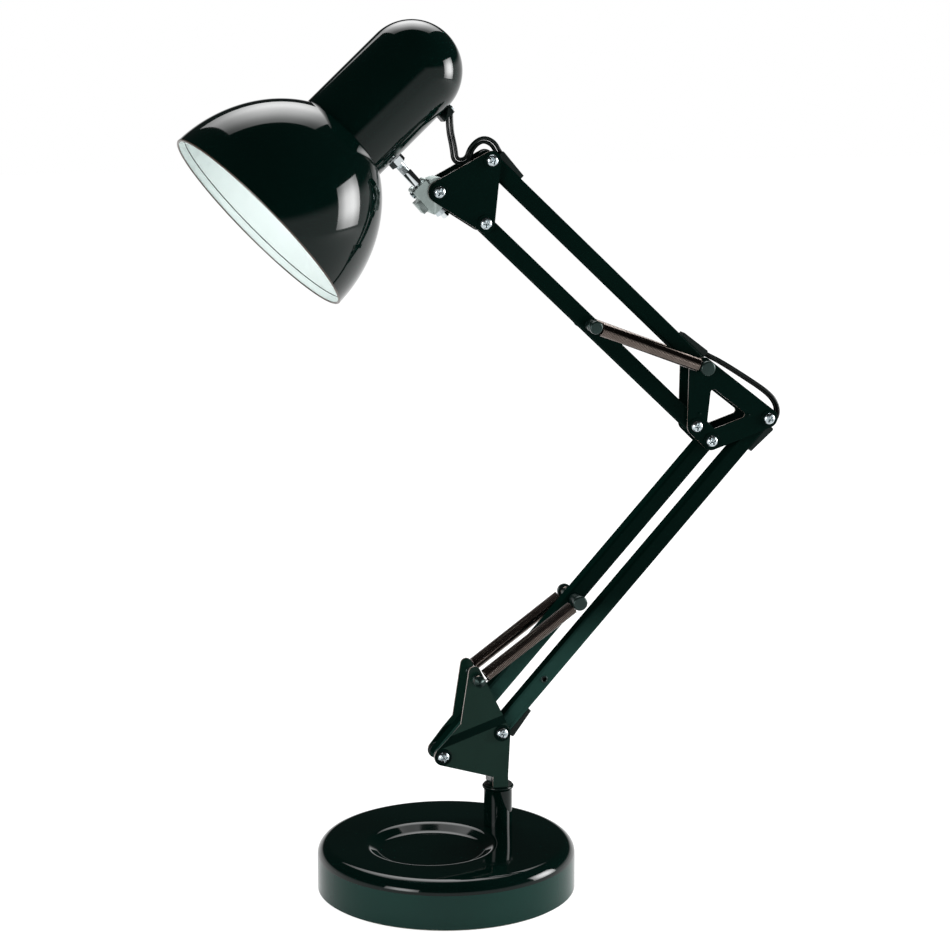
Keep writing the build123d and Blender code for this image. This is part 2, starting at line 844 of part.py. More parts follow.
# ---- Knuckle ----
knuckle_plane = bar_plane(tilt_pivot, head_angle, -knuckle_width / 2)
boss_bottom = boss_top - boss_length
with BuildPart() as knuckle_body:
    with BuildSketch(knuckle_plane):
        Circle(knuckle_radius)
        with Locations((-rod_offset, (boss_top + boss_bottom) / 2)):
            RectangleRounded(2 * boss_half_width, boss_length, boss_corner)
    extrude(amount=knuckle_width)
    with BuildSketch(bar_plane(tilt_pivot, head_angle, -lug_width / 2)):
        with Locations((-rod_offset - lug_reach / 2, lug_top - lug_length / 2)):
            Rectangle(lug_reach, lug_length)
    extrude(amount=lug_width)
    with BuildSketch(knuckle_plane):
        Circle(screw_radius + running_gap)
    extrude(amount=knuckle_width, mode=Mode.SUBTRACT)
    with BuildSketch(rod_plane(boss_top - head_reach)):
        Circle(rod_radius + running_gap)
    extrude(amount=rod_foot_start - boss_top - side_gap, mode=Mode.SUBTRACT)
    with BuildSketch(rod_plane(boss_top - head_reach)):
        Circle(rod_foot_radius + running_gap)
    extrude(amount=-2 * boss_length, mode=Mode.SUBTRACT)

clamp_plane = Plane(
    origin=in_space(along(tilt_pivot, head_angle, -rod_offset - boss_half_width, boss_top - 3.4)),
    x_dir=(0, 1, 0),
    z_dir=-back_flat,
)
with BuildPart() as clamp_screw:
    with BuildSketch(clamp_plane):
        Circle(clamp_head_radius)
    extrude(amount=clamp_head_height)
    fillet(clamp_screw.edges().filter_by(GeomType.CIRCLE)[-1], clamp_head_height / 3)
    with BuildSketch(clamp_plane.offset(clamp_head_height)):
        Rectangle(2 * clamp_head_radius, recess_width / 1.5)
    extrude(amount=-recess_depth / 2, mode=Mode.SUBTRACT)

# ---- Head ----
rod_top = -(cap_radius - shade_wall) + rod_radius
foot_start = rod_foot_start - head_reach
foot_end = boss_top - head_reach - rod_foot_length
with BuildPart() as head_rod:
    with BuildSketch(rod_plane(foot_start)):
        Circle(rod_radius)
    extrude(amount=rod_top - foot_start)
    with BuildSketch(rod_plane(foot_end)):
        Circle(rod_foot_radius)
    extrude(amount=foot_start - foot_end)

with BuildPart() as rod_top_nut:
    with BuildSketch(rod_plane(-cap_radius - side_gap)):
        RegularPolygon(rod_nut_width / math.sqrt(3), 6)
        Circle(rod_radius, mode=Mode.SUBTRACT)
    extrude(amount=-rod_nut_height)

with BuildPart() as rod_bottom_nut:
    with BuildSketch(rod_plane(boss_bottom - head_reach - seat_gap)):
        RegularPolygon(nut_width / math.sqrt(3), 6)
        Circle(rod_foot_radius, mode=Mode.SUBTRACT)
    extrude(amount=-nut_height)


def bowl_curve(radius, depth, inset_by):
    """Points of the bowl's profile, from the rim to the cap, a wall inside the outer surface."""
    power = bowl_fullness
    reach = depth / (1 - (cap_radius / radius) ** power) ** (1 / power)
    points = []
    for i in range(13):
        distance = depth * i / 12
        share = (distance / (reach - inset_by)) ** power
        height = (radius - inset_by) * max(0, 1 - share) ** (1 / power)
        points.append((distance - rim_distance, height))
    return points


outer_curve = bowl_curve(shade_radius, bowl_depth, 0)
inner_curve = bowl_curve(shade_radius, bowl_depth, shade_wall)
with BuildPart() as shade_bowl:
    with BuildSketch(head_plane):
        with BuildLine():
            Spline(*outer_curve)
            Line(outer_curve[-1], inner_curve[-1])
            Spline(*inner_curve)
            Line(inner_curve[0], outer_curve[0])
        make_face()
    revolve(axis=shade_axis)
    with BuildSketch(head_plane):
        with BuildLine():
            Polyline(
                (bowl_end - shade_wall, holder_opening_radius),
                (bowl_end, holder_opening_radius),
                (bowl_end, cap_radius),
                (bowl_end - shade_wall, cap_radius),
                close=True,
            )
        make_face()
    revolve(axis=shade_axis)
    with BuildSketch(head_plane):
        with Locations((-rim_distance + rim_bead_radius / 2, shade_radius - rim_bead_radius)):
            Circle(rim_bead_radius)
    revolve(axis=shade_axis)

with BuildPart() as shade_cap:
    with BuildSketch(head_plane):
        with BuildLine():
            Line((bowl_end, cap_radius), (cap_end, cap_radius))
            CenterArc((cap_end, 0), cap_radius, 0, 90)
            Line((cap_end + cap_radius, 0), (cap_end + cap_radius - shade_wall, 0))
            CenterArc((cap_end, 0), cap_radius - shade_wall, 0, 90)
            Line((cap_end, cap_radius - shade_wall), (bowl_end, cap_radius - shade_wall))
            Line((bowl_end, cap_radius - shade_wall), (bowl_end, cap_radius))
        make_face()
    revolve(axis=shade_axis)
    with BuildSketch(rod_plane(-cap_radius - shade_wall)):
        Circle(rod_radius + running_gap)
    extrude(amount=cap_radius, mode=Mode.SUBTRACT)

mouth = bowl_end - holder_mouth
with BuildPart() as lampholder:
    with BuildSketch(shade_plane(mouth)):
        Circle(holder_radius)
    extrude(amount=holder_bore_depth + holder_floor)
    with BuildSketch(shade_plane(bowl_end)):
        Circle(holder_shoulder_radius)
    extrude(amount=holder_shoulder)
    with BuildSketch(shade_plane(mouth)):
        Circle(holder_bore_radius)
    extrude(amount=holder_bore_depth, mode=Mode.SUBTRACT)
    with BuildSketch(shade_plane(mouth)):
        Circle(contact_radius + running_gap)
    extrude(amount=holder_bore_depth + contact_height, mode=Mode.SUBTRACT)

with BuildPart() as holder_ring:
    with BuildSketch(shade_plane(bowl_end - shade_wall - clamp_ring_height)):
        Circle(clamp_ring_radius)
        Circle(holder_radius + running_gap, mode=Mode.SUBTRACT)
    extrude(amount=clamp_ring_height)

with BuildPart() as holder_contact:
    with BuildSketch(shade_plane(mouth + holder_bore_depth)):
        Circle(contact_radius)
    extrude(amount=contact_height)

grip_middle = cap_end - grip_set_back
grip_plane = Plane(
    origin=head_plane.origin + shade_back * grip_middle - rod_up * (cap_radius + grip_height),
    x_dir=shade_back,
    z_dir=rod_up,
)
grip_exit = grip_plane.origin + shade_back * grip_bore_offset
with BuildPart() as cord_grip:
    with BuildSketch(grip_plane):
        Rectangle(grip_length, grip_width)
    extrude(amount=2 * grip_height)
    fillet(cord_grip.edges().filter_by(Axis(head_plane.origin, rod_up)), grip_height / 4)
    with BuildSketch(shade_plane(grip_middle - grip_length)):
        Circle(cap_radius + running_gap)
    extrude(amount=2 * grip_length, mode=Mode.SUBTRACT)
    with BuildSketch(Plane.XY.offset(grip_exit.Z - grip_length)):
        with Locations((grip_exit.X, grip_exit.Y)):
            Circle(flex_radius + running_gap)
    extrude(amount=grip_length + grip_bore_depth, mode=Mode.SUBTRACT)

with BuildPart() as grip_screw:
    with BuildSketch(
        Plane(
            origin=head_plane.origin
            + shade_back * (grip_middle + grip_length / 2)
            - rod_up * (cap_radius + grip_height / 2),
            x_dir=(0, 1, 0),
            z_dir=shade_back,
        )
    ):
        Circle(grip_screw_radius)
    extrude(amount=grip_screw_height)


# ---- Flex ----
def beside(start, angle, distance, outwards):
    """Point beside a bar, from a pivot inwards, and out from its middle to its outer side."""
    return in_space(along(start, angle, distance, outwards))


def flex_tube(points):
    """Tube along straight runs joined by the largest tangent arcs that the runs leave room for."""
    vectors = [Vector(*point) for point in points]
    runs = [(b - a) for a, b in zip(vectors, vectors[1:])]
    radii = []
    for i in range(len(runs) - 1):
        before = runs[i].length * (1.0 if i == 0 else 0.5)
        after = runs[i + 1].length * (1.0 if i == len(runs) - 2 else 0.5)
        half_turn = math.radians(runs[i].get_angle(runs[i + 1]) / 2)
        radii.append(0.9 * min(before, after) / math.tan(half_turn))
    with BuildPart() as tube:
        with BuildLine() as path:
            FilletPolyline(*vectors, radius=radii)
        with BuildSketch(Plane(origin=vectors[0], z_dir=runs[0])):
            Circle(flex_radius)
        sweep()
    length = path.wire().length
    expected = math.pi * flex_radius**2 * length
    print(
        "flex length", round(length, 1), "radii", [round(radius, 1) for radius in radii],
        "volume over section times length", round(tube.part.volume / expected, 4),
    )
    return tube


entry = guide_start - 2 * side_gap
lower_middle = in_space(along(fork_right, lower_angle, lower_length / 2))
upper_middle = in_space(along(elbow_top, upper_angle, upper_length / 2))
elbow_join = in_space(shifted(elbow_right, (-8.08, 24.06)))
head_join = in_space(shifted(head_top, (-8.04, 11.23)))
trough_join = in_space(shifted(head_top, (-18.74, -0.77)))

flex_fork = flex_tube([
    in_space((stem_x, neck_bottom - pin_length)),
    in_space(shifted(fork_right, (0.0, -23.6))),
    in_space(shifted(fork_right, (2.5, -9.6))),
    beside(fork_right, lower_angle, entry, -flex_entry_height),
    beside(fork_right, lower_angle, flex_dip, -flex_dip_height),
    beside(fork_right, lower_angle, flex_inside, 0.0),
    lower_middle,
])
flex_elbow_low = flex_tube([
    lower_middle,
    beside(elbow_right, lower_angle + 180, flex_inside, 0.0),
    beside(elbow_right, lower_angle + 180, flex_dip, flex_dip_height),
    beside(elbow_right, lower_angle + 180, entry, flex_entry_height),
    in_space(shifted(elbow_right, (10.52, 0.16))),
    in_space(shifted(elbow_right, (9.12, 9.16))),
    in_space(shifted(elbow_right, (1.92, 17.46))),
    elbow_join,
])
flex_elbow_top = flex_tube([
    elbow_join,
    in_space(shifted(elbow_top, (18.46, 0.2))),
    beside(elbow_top, upper_angle, entry, -flex_entry_height),
    beside(elbow_top, upper_angle, flex_dip, -flex_dip_height),
    beside(elbow_top, upper_angle, flex_inside, 0.0),
    upper_middle,
])
flex_head_bar = flex_tube([
    upper_middle,
    beside(head_top, upper_angle + 180, flex_inside, 0.0),
    beside(head_top, upper_angle + 180, flex_dip, flex_dip_height),
    beside(head_top, upper_angle + 180, entry, flex_entry_height),
    in_space(shifted(head_top, (3.46, 11.23))),
    in_space(shifted(head_top, (-4.24, 14.23))),
    head_join,
])
flex_head_loop = flex_tube([
    head_join,
    in_space(shifted(head_top, (-11.84, 8.23))),
    in_space(shifted(head_top, (-14.44, -0.47))),
    trough_join,
])
flex_grip = flex_tube([
    trough_join,
    in_space(shifted(head_top, (-23.04, -1.07))),
    in_space(shifted(head_top, (-23.74, 8.23)), 1.0),
    (grip_exit.X, grip_exit.Y, grip_exit.Z - 9.0),
    (grip_exit.X, grip_exit.Y, grip_exit.Z + grip_bore_depth),
])

# ---- Labels and files ----
base_cover.part.label = "base_cover"
export_step(base_cover.part, "parts/base_cover.step")
base_weight.part.label = "base_weight"
export_step(base_weight.part, "parts/base_weight.step")
base_pad.part.label = "base_pad"
export_step(base_pad.part, "parts/base_pad.step")
cord_gland.part.label = "cord_gland"
export_step(cord_gland.part, "parts/cord_gland.step")
stem_tube.part.label = "stem_tube"
export_step(stem_tube.part, "parts/stem_tube.step")
stem_bush.part.label = "stem_bush"
export_step(stem_bush.part, "parts/stem_bush.step")
fork_bracket.part.label = "fork_bracket"
export_step(fork_bracket.part, "parts/fork_bracket.step")
fork_pin.part.label = "fork_pin"
export_step(fork_pin.part, "parts/fork_pin.step")
pin_collar.part.label = "pin_collar"
export_step(pin_collar.part, "parts/pin_collar.step")
fork_screws.part.label = "fork_screws"
export_step(fork_screws.part, "parts/fork_screws.step")
fork_rings.part.label = "fork_rings"
export_step(fork_rings.part, "parts/fork_rings.step")
fork_nuts.part.label = "fork_nuts"
export_step(fork_nuts.part, "parts/fork_nuts.step")
fork_studs.part.label = "fork_studs"
export_step(fork_studs.part, "parts/fork_studs.step")
lower_bar_right.part.label = "lower_bar_right"
export_step(lower_bar_right.part, "parts/lower_bar_right.step")
lower_right_bushes.part.label = "lower_right_bushes"
export_step(lower_right_bushes.part, "parts/lower_right_bushes.step")
lower_cord_guides.part.label = "lower_cord_guides"
export_step(lower_cord_guides.part, "parts/lower_cord_guides.step")
lower_bar_left.part.label = "lower_bar_left"
export_step(lower_bar_left.part, "parts/lower_bar_left.step")
lower_left_bushes.part.label = "lower_left_bushes"
export_step(lower_left_bushes.part, "parts/lower_left_bushes.step")
lower_spring_post.part.label = "lower_spring_post"
export_step(lower_spring_post.part, "parts/lower_spring_post.step")
elbow_front_plate.part.label = "elbow_front_plate"
export_step(elbow_front_plate.part, "parts/elbow_front_plate.step")
elbow_rear_plate.part.label = "elbow_rear_plate"
export_step(elbow_rear_plate.part, "parts/elbow_rear_plate.step")
elbow_screws.part.label = "elbow_screws"
export_step(elbow_screws.part, "parts/elbow_screws.step")
elbow_rings.part.label = "elbow_rings"
export_step(elbow_rings.part, "parts/elbow_rings.step")
elbow_nuts.part.label = "elbow_nuts"
export_step(elbow_nuts.part, "parts/elbow_nuts.step")
elbow_post.part.label = "elbow_post"
export_step(elbow_post.part, "parts/elbow_post.step")
upper_bar_top.part.label = "upper_bar_top"
export_step(upper_bar_top.part, "parts/upper_bar_top.step")
upper_top_bushes.part.label = "upper_top_bushes"
export_step(upper_top_bushes.part, "parts/upper_top_bushes.step")
elbow_top_bushes.part.label = "elbow_top_bushes"
export_step(elbow_top_bushes.part, "parts/elbow_top_bushes.step")
upper_cord_guides.part.label = "upper_cord_guides"
export_step(upper_cord_guides.part, "parts/upper_cord_guides.step")
upper_bar_bottom.part.label = "upper_bar_bottom"
export_step(upper_bar_bottom.part, "parts/upper_bar_bottom.step")
upper_bottom_bushes.part.label = "upper_bottom_bushes"
export_step(upper_bottom_bushes.part, "parts/upper_bottom_bushes.step")
upper_spring_post.part.label = "upper_spring_post"
export_step(upper_spring_post.part, "parts/upper_spring_post.step")
lower_spring_front.part.label = "lower_spring_front"
export_step(lower_spring_front.part, "parts/lower_spring_front.step")
lower_spring_rear.part.label = "lower_spring_rear"
export_step(lower_spring_rear.part, "parts/lower_spring_rear.step")
upper_spring_front.part.label = "upper_spring_front"
export_step(upper_spring_front.part, "parts/upper_spring_front.step")
upper_spring_rear.part.label = "upper_spring_rear"
export_step(upper_spring_rear.part, "parts/upper_spring_rear.step")
head_front_plate.part.label = "head_front_plate"
export_step(head_front_plate.part, "parts/head_front_plate.step")
head_rear_plate.part.label = "head_rear_plate"
export_step(head_rear_plate.part, "parts/head_rear_plate.step")
head_screws.part.label = "head_screws"
export_step(head_screws.part, "parts/head_screws.step")
head_rings.part.label = "head_rings"
export_step(head_rings.part, "parts/head_rings.step")
head_nuts.part.label = "head_nuts"
export_step(head_nuts.part, "parts/head_nuts.step")
knuckle_body.part.label = "knuckle_body"
export_step(knuckle_body.part, "parts/knuckle_body.step")
clamp_screw.part.label = "clamp_screw"
export_step(clamp_screw.part, "parts/clamp_screw.step")
head_rod.part.label = "head_rod"
export_step(head_rod.part, "parts/head_rod.step")
rod_top_nut.part.label = "rod_top_nut"
export_step(rod_top_nut.part, "parts/rod_top_nut.step")
rod_bottom_nut.part.label = "rod_bottom_nut"
export_step(rod_bottom_nut.part, "parts/rod_bottom_nut.step")
shade_bowl.part.label = "shade_bowl"
export_step(shade_bowl.part, "parts/shade_bowl.step")
shade_cap.part.label = "shade_cap"
export_step(shade_cap.part, "parts/shade_cap.step")
lampholder.part.label = "lampholder"
export_step(lampholder.part, "parts/lampholder.step")
holder_ring.part.label = "holder_ring"
export_step(holder_ring.part, "parts/holder_ring.step")
holder_contact.part.label = "holder_contact"
export_step(holder_contact.part, "parts/holder_contact.step")
cord_grip.part.label = "cord_grip"
export_step(cord_grip.part, "parts/cord_grip.step")
grip_screw.part.label = "grip_screw"
export_step(grip_screw.part, "parts/grip_screw.step")
flex_fork.part.label = "flex_fork"
export_step(flex_fork.part, "parts/flex_fork.step")
flex_elbow_low.part.label = "flex_elbow_low"
export_step(flex_elbow_low.part, "parts/flex_elbow_low.step")
flex_elbow_top.part.label = "flex_elbow_top"
export_step(flex_elbow_top.part, "parts/flex_elbow_top.step")
flex_head_bar.part.label = "flex_head_bar"
export_step(flex_head_bar.part, "parts/flex_head_bar.step")
flex_head_loop.part.label = "flex_head_loop"
export_step(flex_head_loop.part, "parts/flex_head_loop.step")
flex_grip.part.label = "flex_grip"
export_step(flex_grip.part, "parts/flex_grip.step")
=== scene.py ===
import json
import logging
import math
from dataclasses import dataclass, field
from enum import Enum
from typing import Any, Iterable, Sequence

import bmesh
import bpy
import numpy as np
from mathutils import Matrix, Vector

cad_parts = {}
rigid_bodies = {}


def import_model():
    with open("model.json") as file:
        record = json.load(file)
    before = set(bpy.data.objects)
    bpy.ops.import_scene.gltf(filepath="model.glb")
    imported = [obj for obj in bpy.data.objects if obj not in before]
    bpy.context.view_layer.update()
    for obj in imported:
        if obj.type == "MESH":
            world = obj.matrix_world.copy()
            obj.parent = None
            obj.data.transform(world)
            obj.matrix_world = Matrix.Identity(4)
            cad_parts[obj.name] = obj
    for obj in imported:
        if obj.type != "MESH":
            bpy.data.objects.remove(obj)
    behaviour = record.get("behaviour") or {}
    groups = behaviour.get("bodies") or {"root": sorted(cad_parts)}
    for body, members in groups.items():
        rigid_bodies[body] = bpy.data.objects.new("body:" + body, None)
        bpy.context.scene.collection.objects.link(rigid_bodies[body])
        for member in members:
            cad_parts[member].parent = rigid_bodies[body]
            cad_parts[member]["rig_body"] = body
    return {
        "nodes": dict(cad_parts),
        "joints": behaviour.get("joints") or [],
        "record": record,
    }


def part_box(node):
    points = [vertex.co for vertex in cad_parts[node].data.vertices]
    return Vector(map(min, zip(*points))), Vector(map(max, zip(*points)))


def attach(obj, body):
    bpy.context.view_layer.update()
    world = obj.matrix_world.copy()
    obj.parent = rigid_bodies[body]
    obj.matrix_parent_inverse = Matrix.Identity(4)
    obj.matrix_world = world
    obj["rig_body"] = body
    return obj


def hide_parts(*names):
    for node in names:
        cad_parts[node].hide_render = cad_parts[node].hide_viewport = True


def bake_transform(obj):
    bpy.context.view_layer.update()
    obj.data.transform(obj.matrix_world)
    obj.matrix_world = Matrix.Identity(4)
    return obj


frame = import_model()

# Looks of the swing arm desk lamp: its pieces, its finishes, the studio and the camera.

LOG = logging.getLogger("desk_lamp")
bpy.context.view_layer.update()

# A millimetre in metres and a metre in millimetres.
MM = 0.001
METRE = 1000.0
# Directions: to the front, up and across the arms, and a plain white.
FRONT = np.array([0.0, -1.0, 0.0])
UP = np.array([0.0, 0.0, 1.0])
ACROSS = np.array([0.0, 1.0, 0.0])
BLANK = (1.0, 1.0, 1.0, 1.0)

# Smallest difference of level or distance that keeps two rows apart, in millimetres.
HAIR = 0.01

# In metres: points closer than SEAM become one, and edges shorter than SPECK go.
SEAM = 2e-6
SPECK = 1e-7
# Angle past which an edge of a smoothed solid stays sharp.
SHARP_DEGREES = 32.0

# Cut sheet: edges under FLAT_DEGREES go, and those past CRISP_DEGREES are broken by a band
# SHEET_EDGE wide. A cut edge is less than SHEET_DEPTH deep, both in millimetres.
FLAT_DEGREES = 0.5
CRISP_DEGREES = 40.0
SHEET_EDGE = 0.5
SHEET_DEPTH = 1.6

# How squarely a face looks across the arms: under EDGE_FACING it's an edge, and past
# FLAT_FACING it's flat.
EDGE_FACING = 0.3
FLAT_FACING = 0.995


# ---- Finishes ----
def linear(code: str) -> tuple[float, float, float, float]:
    """Turn an sRGB hex code into the linear colour that a shader takes.

    Args:
        code: Six hex digits after a number sign.

    Returns:
        Red, green, blue and an alpha of one.
    """
    parts = [int(code[i : i + 2], 16) / 255 for i in (1, 3, 5)]
    values = [c / 12.92 if c <= 0.04045 else ((c + 0.055) / 1.055) ** 2.4 for c in parts]
    return (values[0], values[1], values[2], 1.0)


def put(tree: bpy.types.NodeTree, kind: str, sockets: dict[Any, Any] | None = None, **settings: Any) -> bpy.types.Node:
    """Add a node with its settings, and fill or link its sockets.

    Args:
        tree: Node tree that takes the node.
        kind: Blender's name of the node type.
        sockets: Value, or output socket to link, for each input's name or number.
        **settings: The node's own properties.

    Returns:
        The new node.
    """
    node = tree.nodes.new(kind)
    for name, value in settings.items():
        setattr(node, name, value)
    for name, value in (sockets or {}).items():
        if isinstance(value, bpy.types.NodeSocket):
            tree.links.new(value, node.inputs[name])
        else:
            node.inputs[name].default_value = value
    return node


def emptied(block: bpy.types.ID) -> bpy.types.NodeTree:
    """Turn on a block's nodes and take the first ones out.

    Args:
        block: Material, world or light.

    Returns:
        Its empty node tree.
    """
    block.use_nodes = True
    block.node_tree.nodes.clear()
    return block.node_tree


def reckoned(tree: bpy.types.NodeTree, operation: str, first: Any, second: Any = 0.0) -> bpy.types.NodeSocket:
    """Result of an operation on two values, each a number or an output socket."""
    return put(tree, "ShaderNodeMath", {0: first, 1: second}, operation=operation).outputs[0]


def eased(
    tree: bpy.types.NodeTree, value: Any, span: tuple[float, float], levels: tuple[float, float] = (0.0, 1.0)
) -> bpy.types.NodeSocket:
    """Run from one level to another by 3 t^2 - 2 t^3, where t is the value's share of the span.

    Args:
        tree: Node tree that takes the node.
        value: Output socket that carries the value.
        span: Values at which the run starts and ends.
        levels: Levels before and after it.

    Returns:
        The output that carries the level.
    """
    sockets = {"Value": value, "From Min": span[0], "From Max": span[1], "To Min": levels[0], "To Max": levels[1]}
    return put(tree, "ShaderNodeMapRange", sockets, interpolation_type="SMOOTHSTEP").outputs["Result"]


def tinted(tree: bpy.types.NodeTree, share: Any, first: Any, second: Any) -> bpy.types.NodeSocket:
    """Mix two colours: all of the first at a share of nought, and all of the second at one."""
    return put(tree, "ShaderNodeMix", {0: share, 6: first, 7: second}, data_type="RGBA").outputs[2]


@dataclass(frozen=True)
class Finish:
    """A surface finish: a principled shader with grain in its colour, roughness and relief.

    The grain sizes are the real widths, in millimetres, of what they draw. Colour and
    roughness run between two values over patches, and relief is a fine noise in height.
    A painted-light colour for the light near the floor stands at the foot, below the first of its two heights, and has
    gone at the second.
    """

    name: str
    colour: str
    second_colour: str
    roughness: tuple[float, float]
    patch_mm: float
    grain_mm: float
    relief_mm: float
    metallic: float = 0.0
    specular: float = 0.5
    edge_mm: float = 0.0
    sheen: float = 0.0
    lit_foot_colour: str = ""
    lit_foot_mm: tuple[float, float] = (0.0, 1.0)

    def pattern(self, tree: bpy.types.NodeTree, width_mm: float, detail: float) -> bpy.types.NodeSocket:
        """Noise with blobs about as wide as given, drawn in the piece's own coordinates.

        Args:
            tree: Node tree that takes the noise.
            width_mm: Width of a blob in millimetres.
            detail: Octaves of the noise.

        Returns:
            The output that carries the noise.
        """
        place = put(tree, "ShaderNodeTexCoord").outputs["Object"]
        sockets = {"Vector": place, "Scale": 0.5 / (width_mm * MM), "Detail": detail}
        return put(tree, "ShaderNodeTexNoise", sockets).outputs["Fac"]

    def relief(self, tree: bpy.types.NodeTree) -> bpy.types.NodeSocket:
        """Surface direction after the finish's fine relief and its softened edges.

        Args:
            tree: Node tree that takes the nodes.

        Returns:
            The output that carries the direction.
        """
        grain = self.pattern(tree, self.grain_mm, 2.0)
        sockets: dict[Any, Any] = {"Height": grain, "Distance": self.relief_mm * MM, "Strength": 1.0}
        if self.edge_mm:
            soft = put(tree, "ShaderNodeBevel", {"Radius": self.edge_mm * MM}, samples=6)
            sockets["Normal"] = soft.outputs["Normal"]
        return put(tree, "ShaderNodeBump", sockets).outputs["Normal"]

    def paint(self, tree: bpy.types.NodeTree, patches: bpy.types.NodeSocket) -> bpy.types.NodeSocket:
        """Colour: the two colours over the patches, with a painted-light colour at the foot below.

        Args:
            tree: Node tree that takes the nodes.
            patches: Output that carries the patches' noise.

        Returns:
            The output that carries the colour.
        """
        colour = tinted(tree, patches, linear(self.colour), linear(self.second_colour))
        if not self.lit_foot_colour:
            return colour
        # Towards the foot the colour eases to a paler one: painted light near the floor.
        place = put(tree, "ShaderNodeTexCoord").outputs["Object"]
        height = put(tree, "ShaderNodeSeparateXYZ", {"Vector": place}).outputs["Z"]
        rise = eased(tree, height, (self.lit_foot_mm[0] * MM, self.lit_foot_mm[1] * MM))
        return tinted(tree, rise, linear(self.lit_foot_colour), colour)

    def build(self) -> bpy.types.Material:
        """Make the material, or find it when it's made already.

        Returns:
            The material.
        """
        known = bpy.data.materials.get(self.name)
        if known:
            return known
        material = bpy.data.materials.new(self.name)
        tree = emptied(material)
        patches = self.pattern(tree, self.patch_mm, 3.0)
        spread = {"Value": patches, "To Min": self.roughness[0], "To Max": self.roughness[1]}
        sockets: dict[Any, Any] = {
            "Base Color": self.paint(tree, patches),
            "Roughness": put(tree, "ShaderNodeMapRange", spread).outputs["Result"],
            "Normal": self.relief(tree),
            "Metallic": self.metallic,
            "Sheen Weight": self.sheen,
        }
        if not self.metallic:
            sockets["Specular IOR Level"] = self.specular
        shader = put(tree, "ShaderNodeBsdfPrincipled", sockets)
        put(tree, "ShaderNodeOutputMaterial", {"Surface": shader.outputs["BSDF"]})
        return material


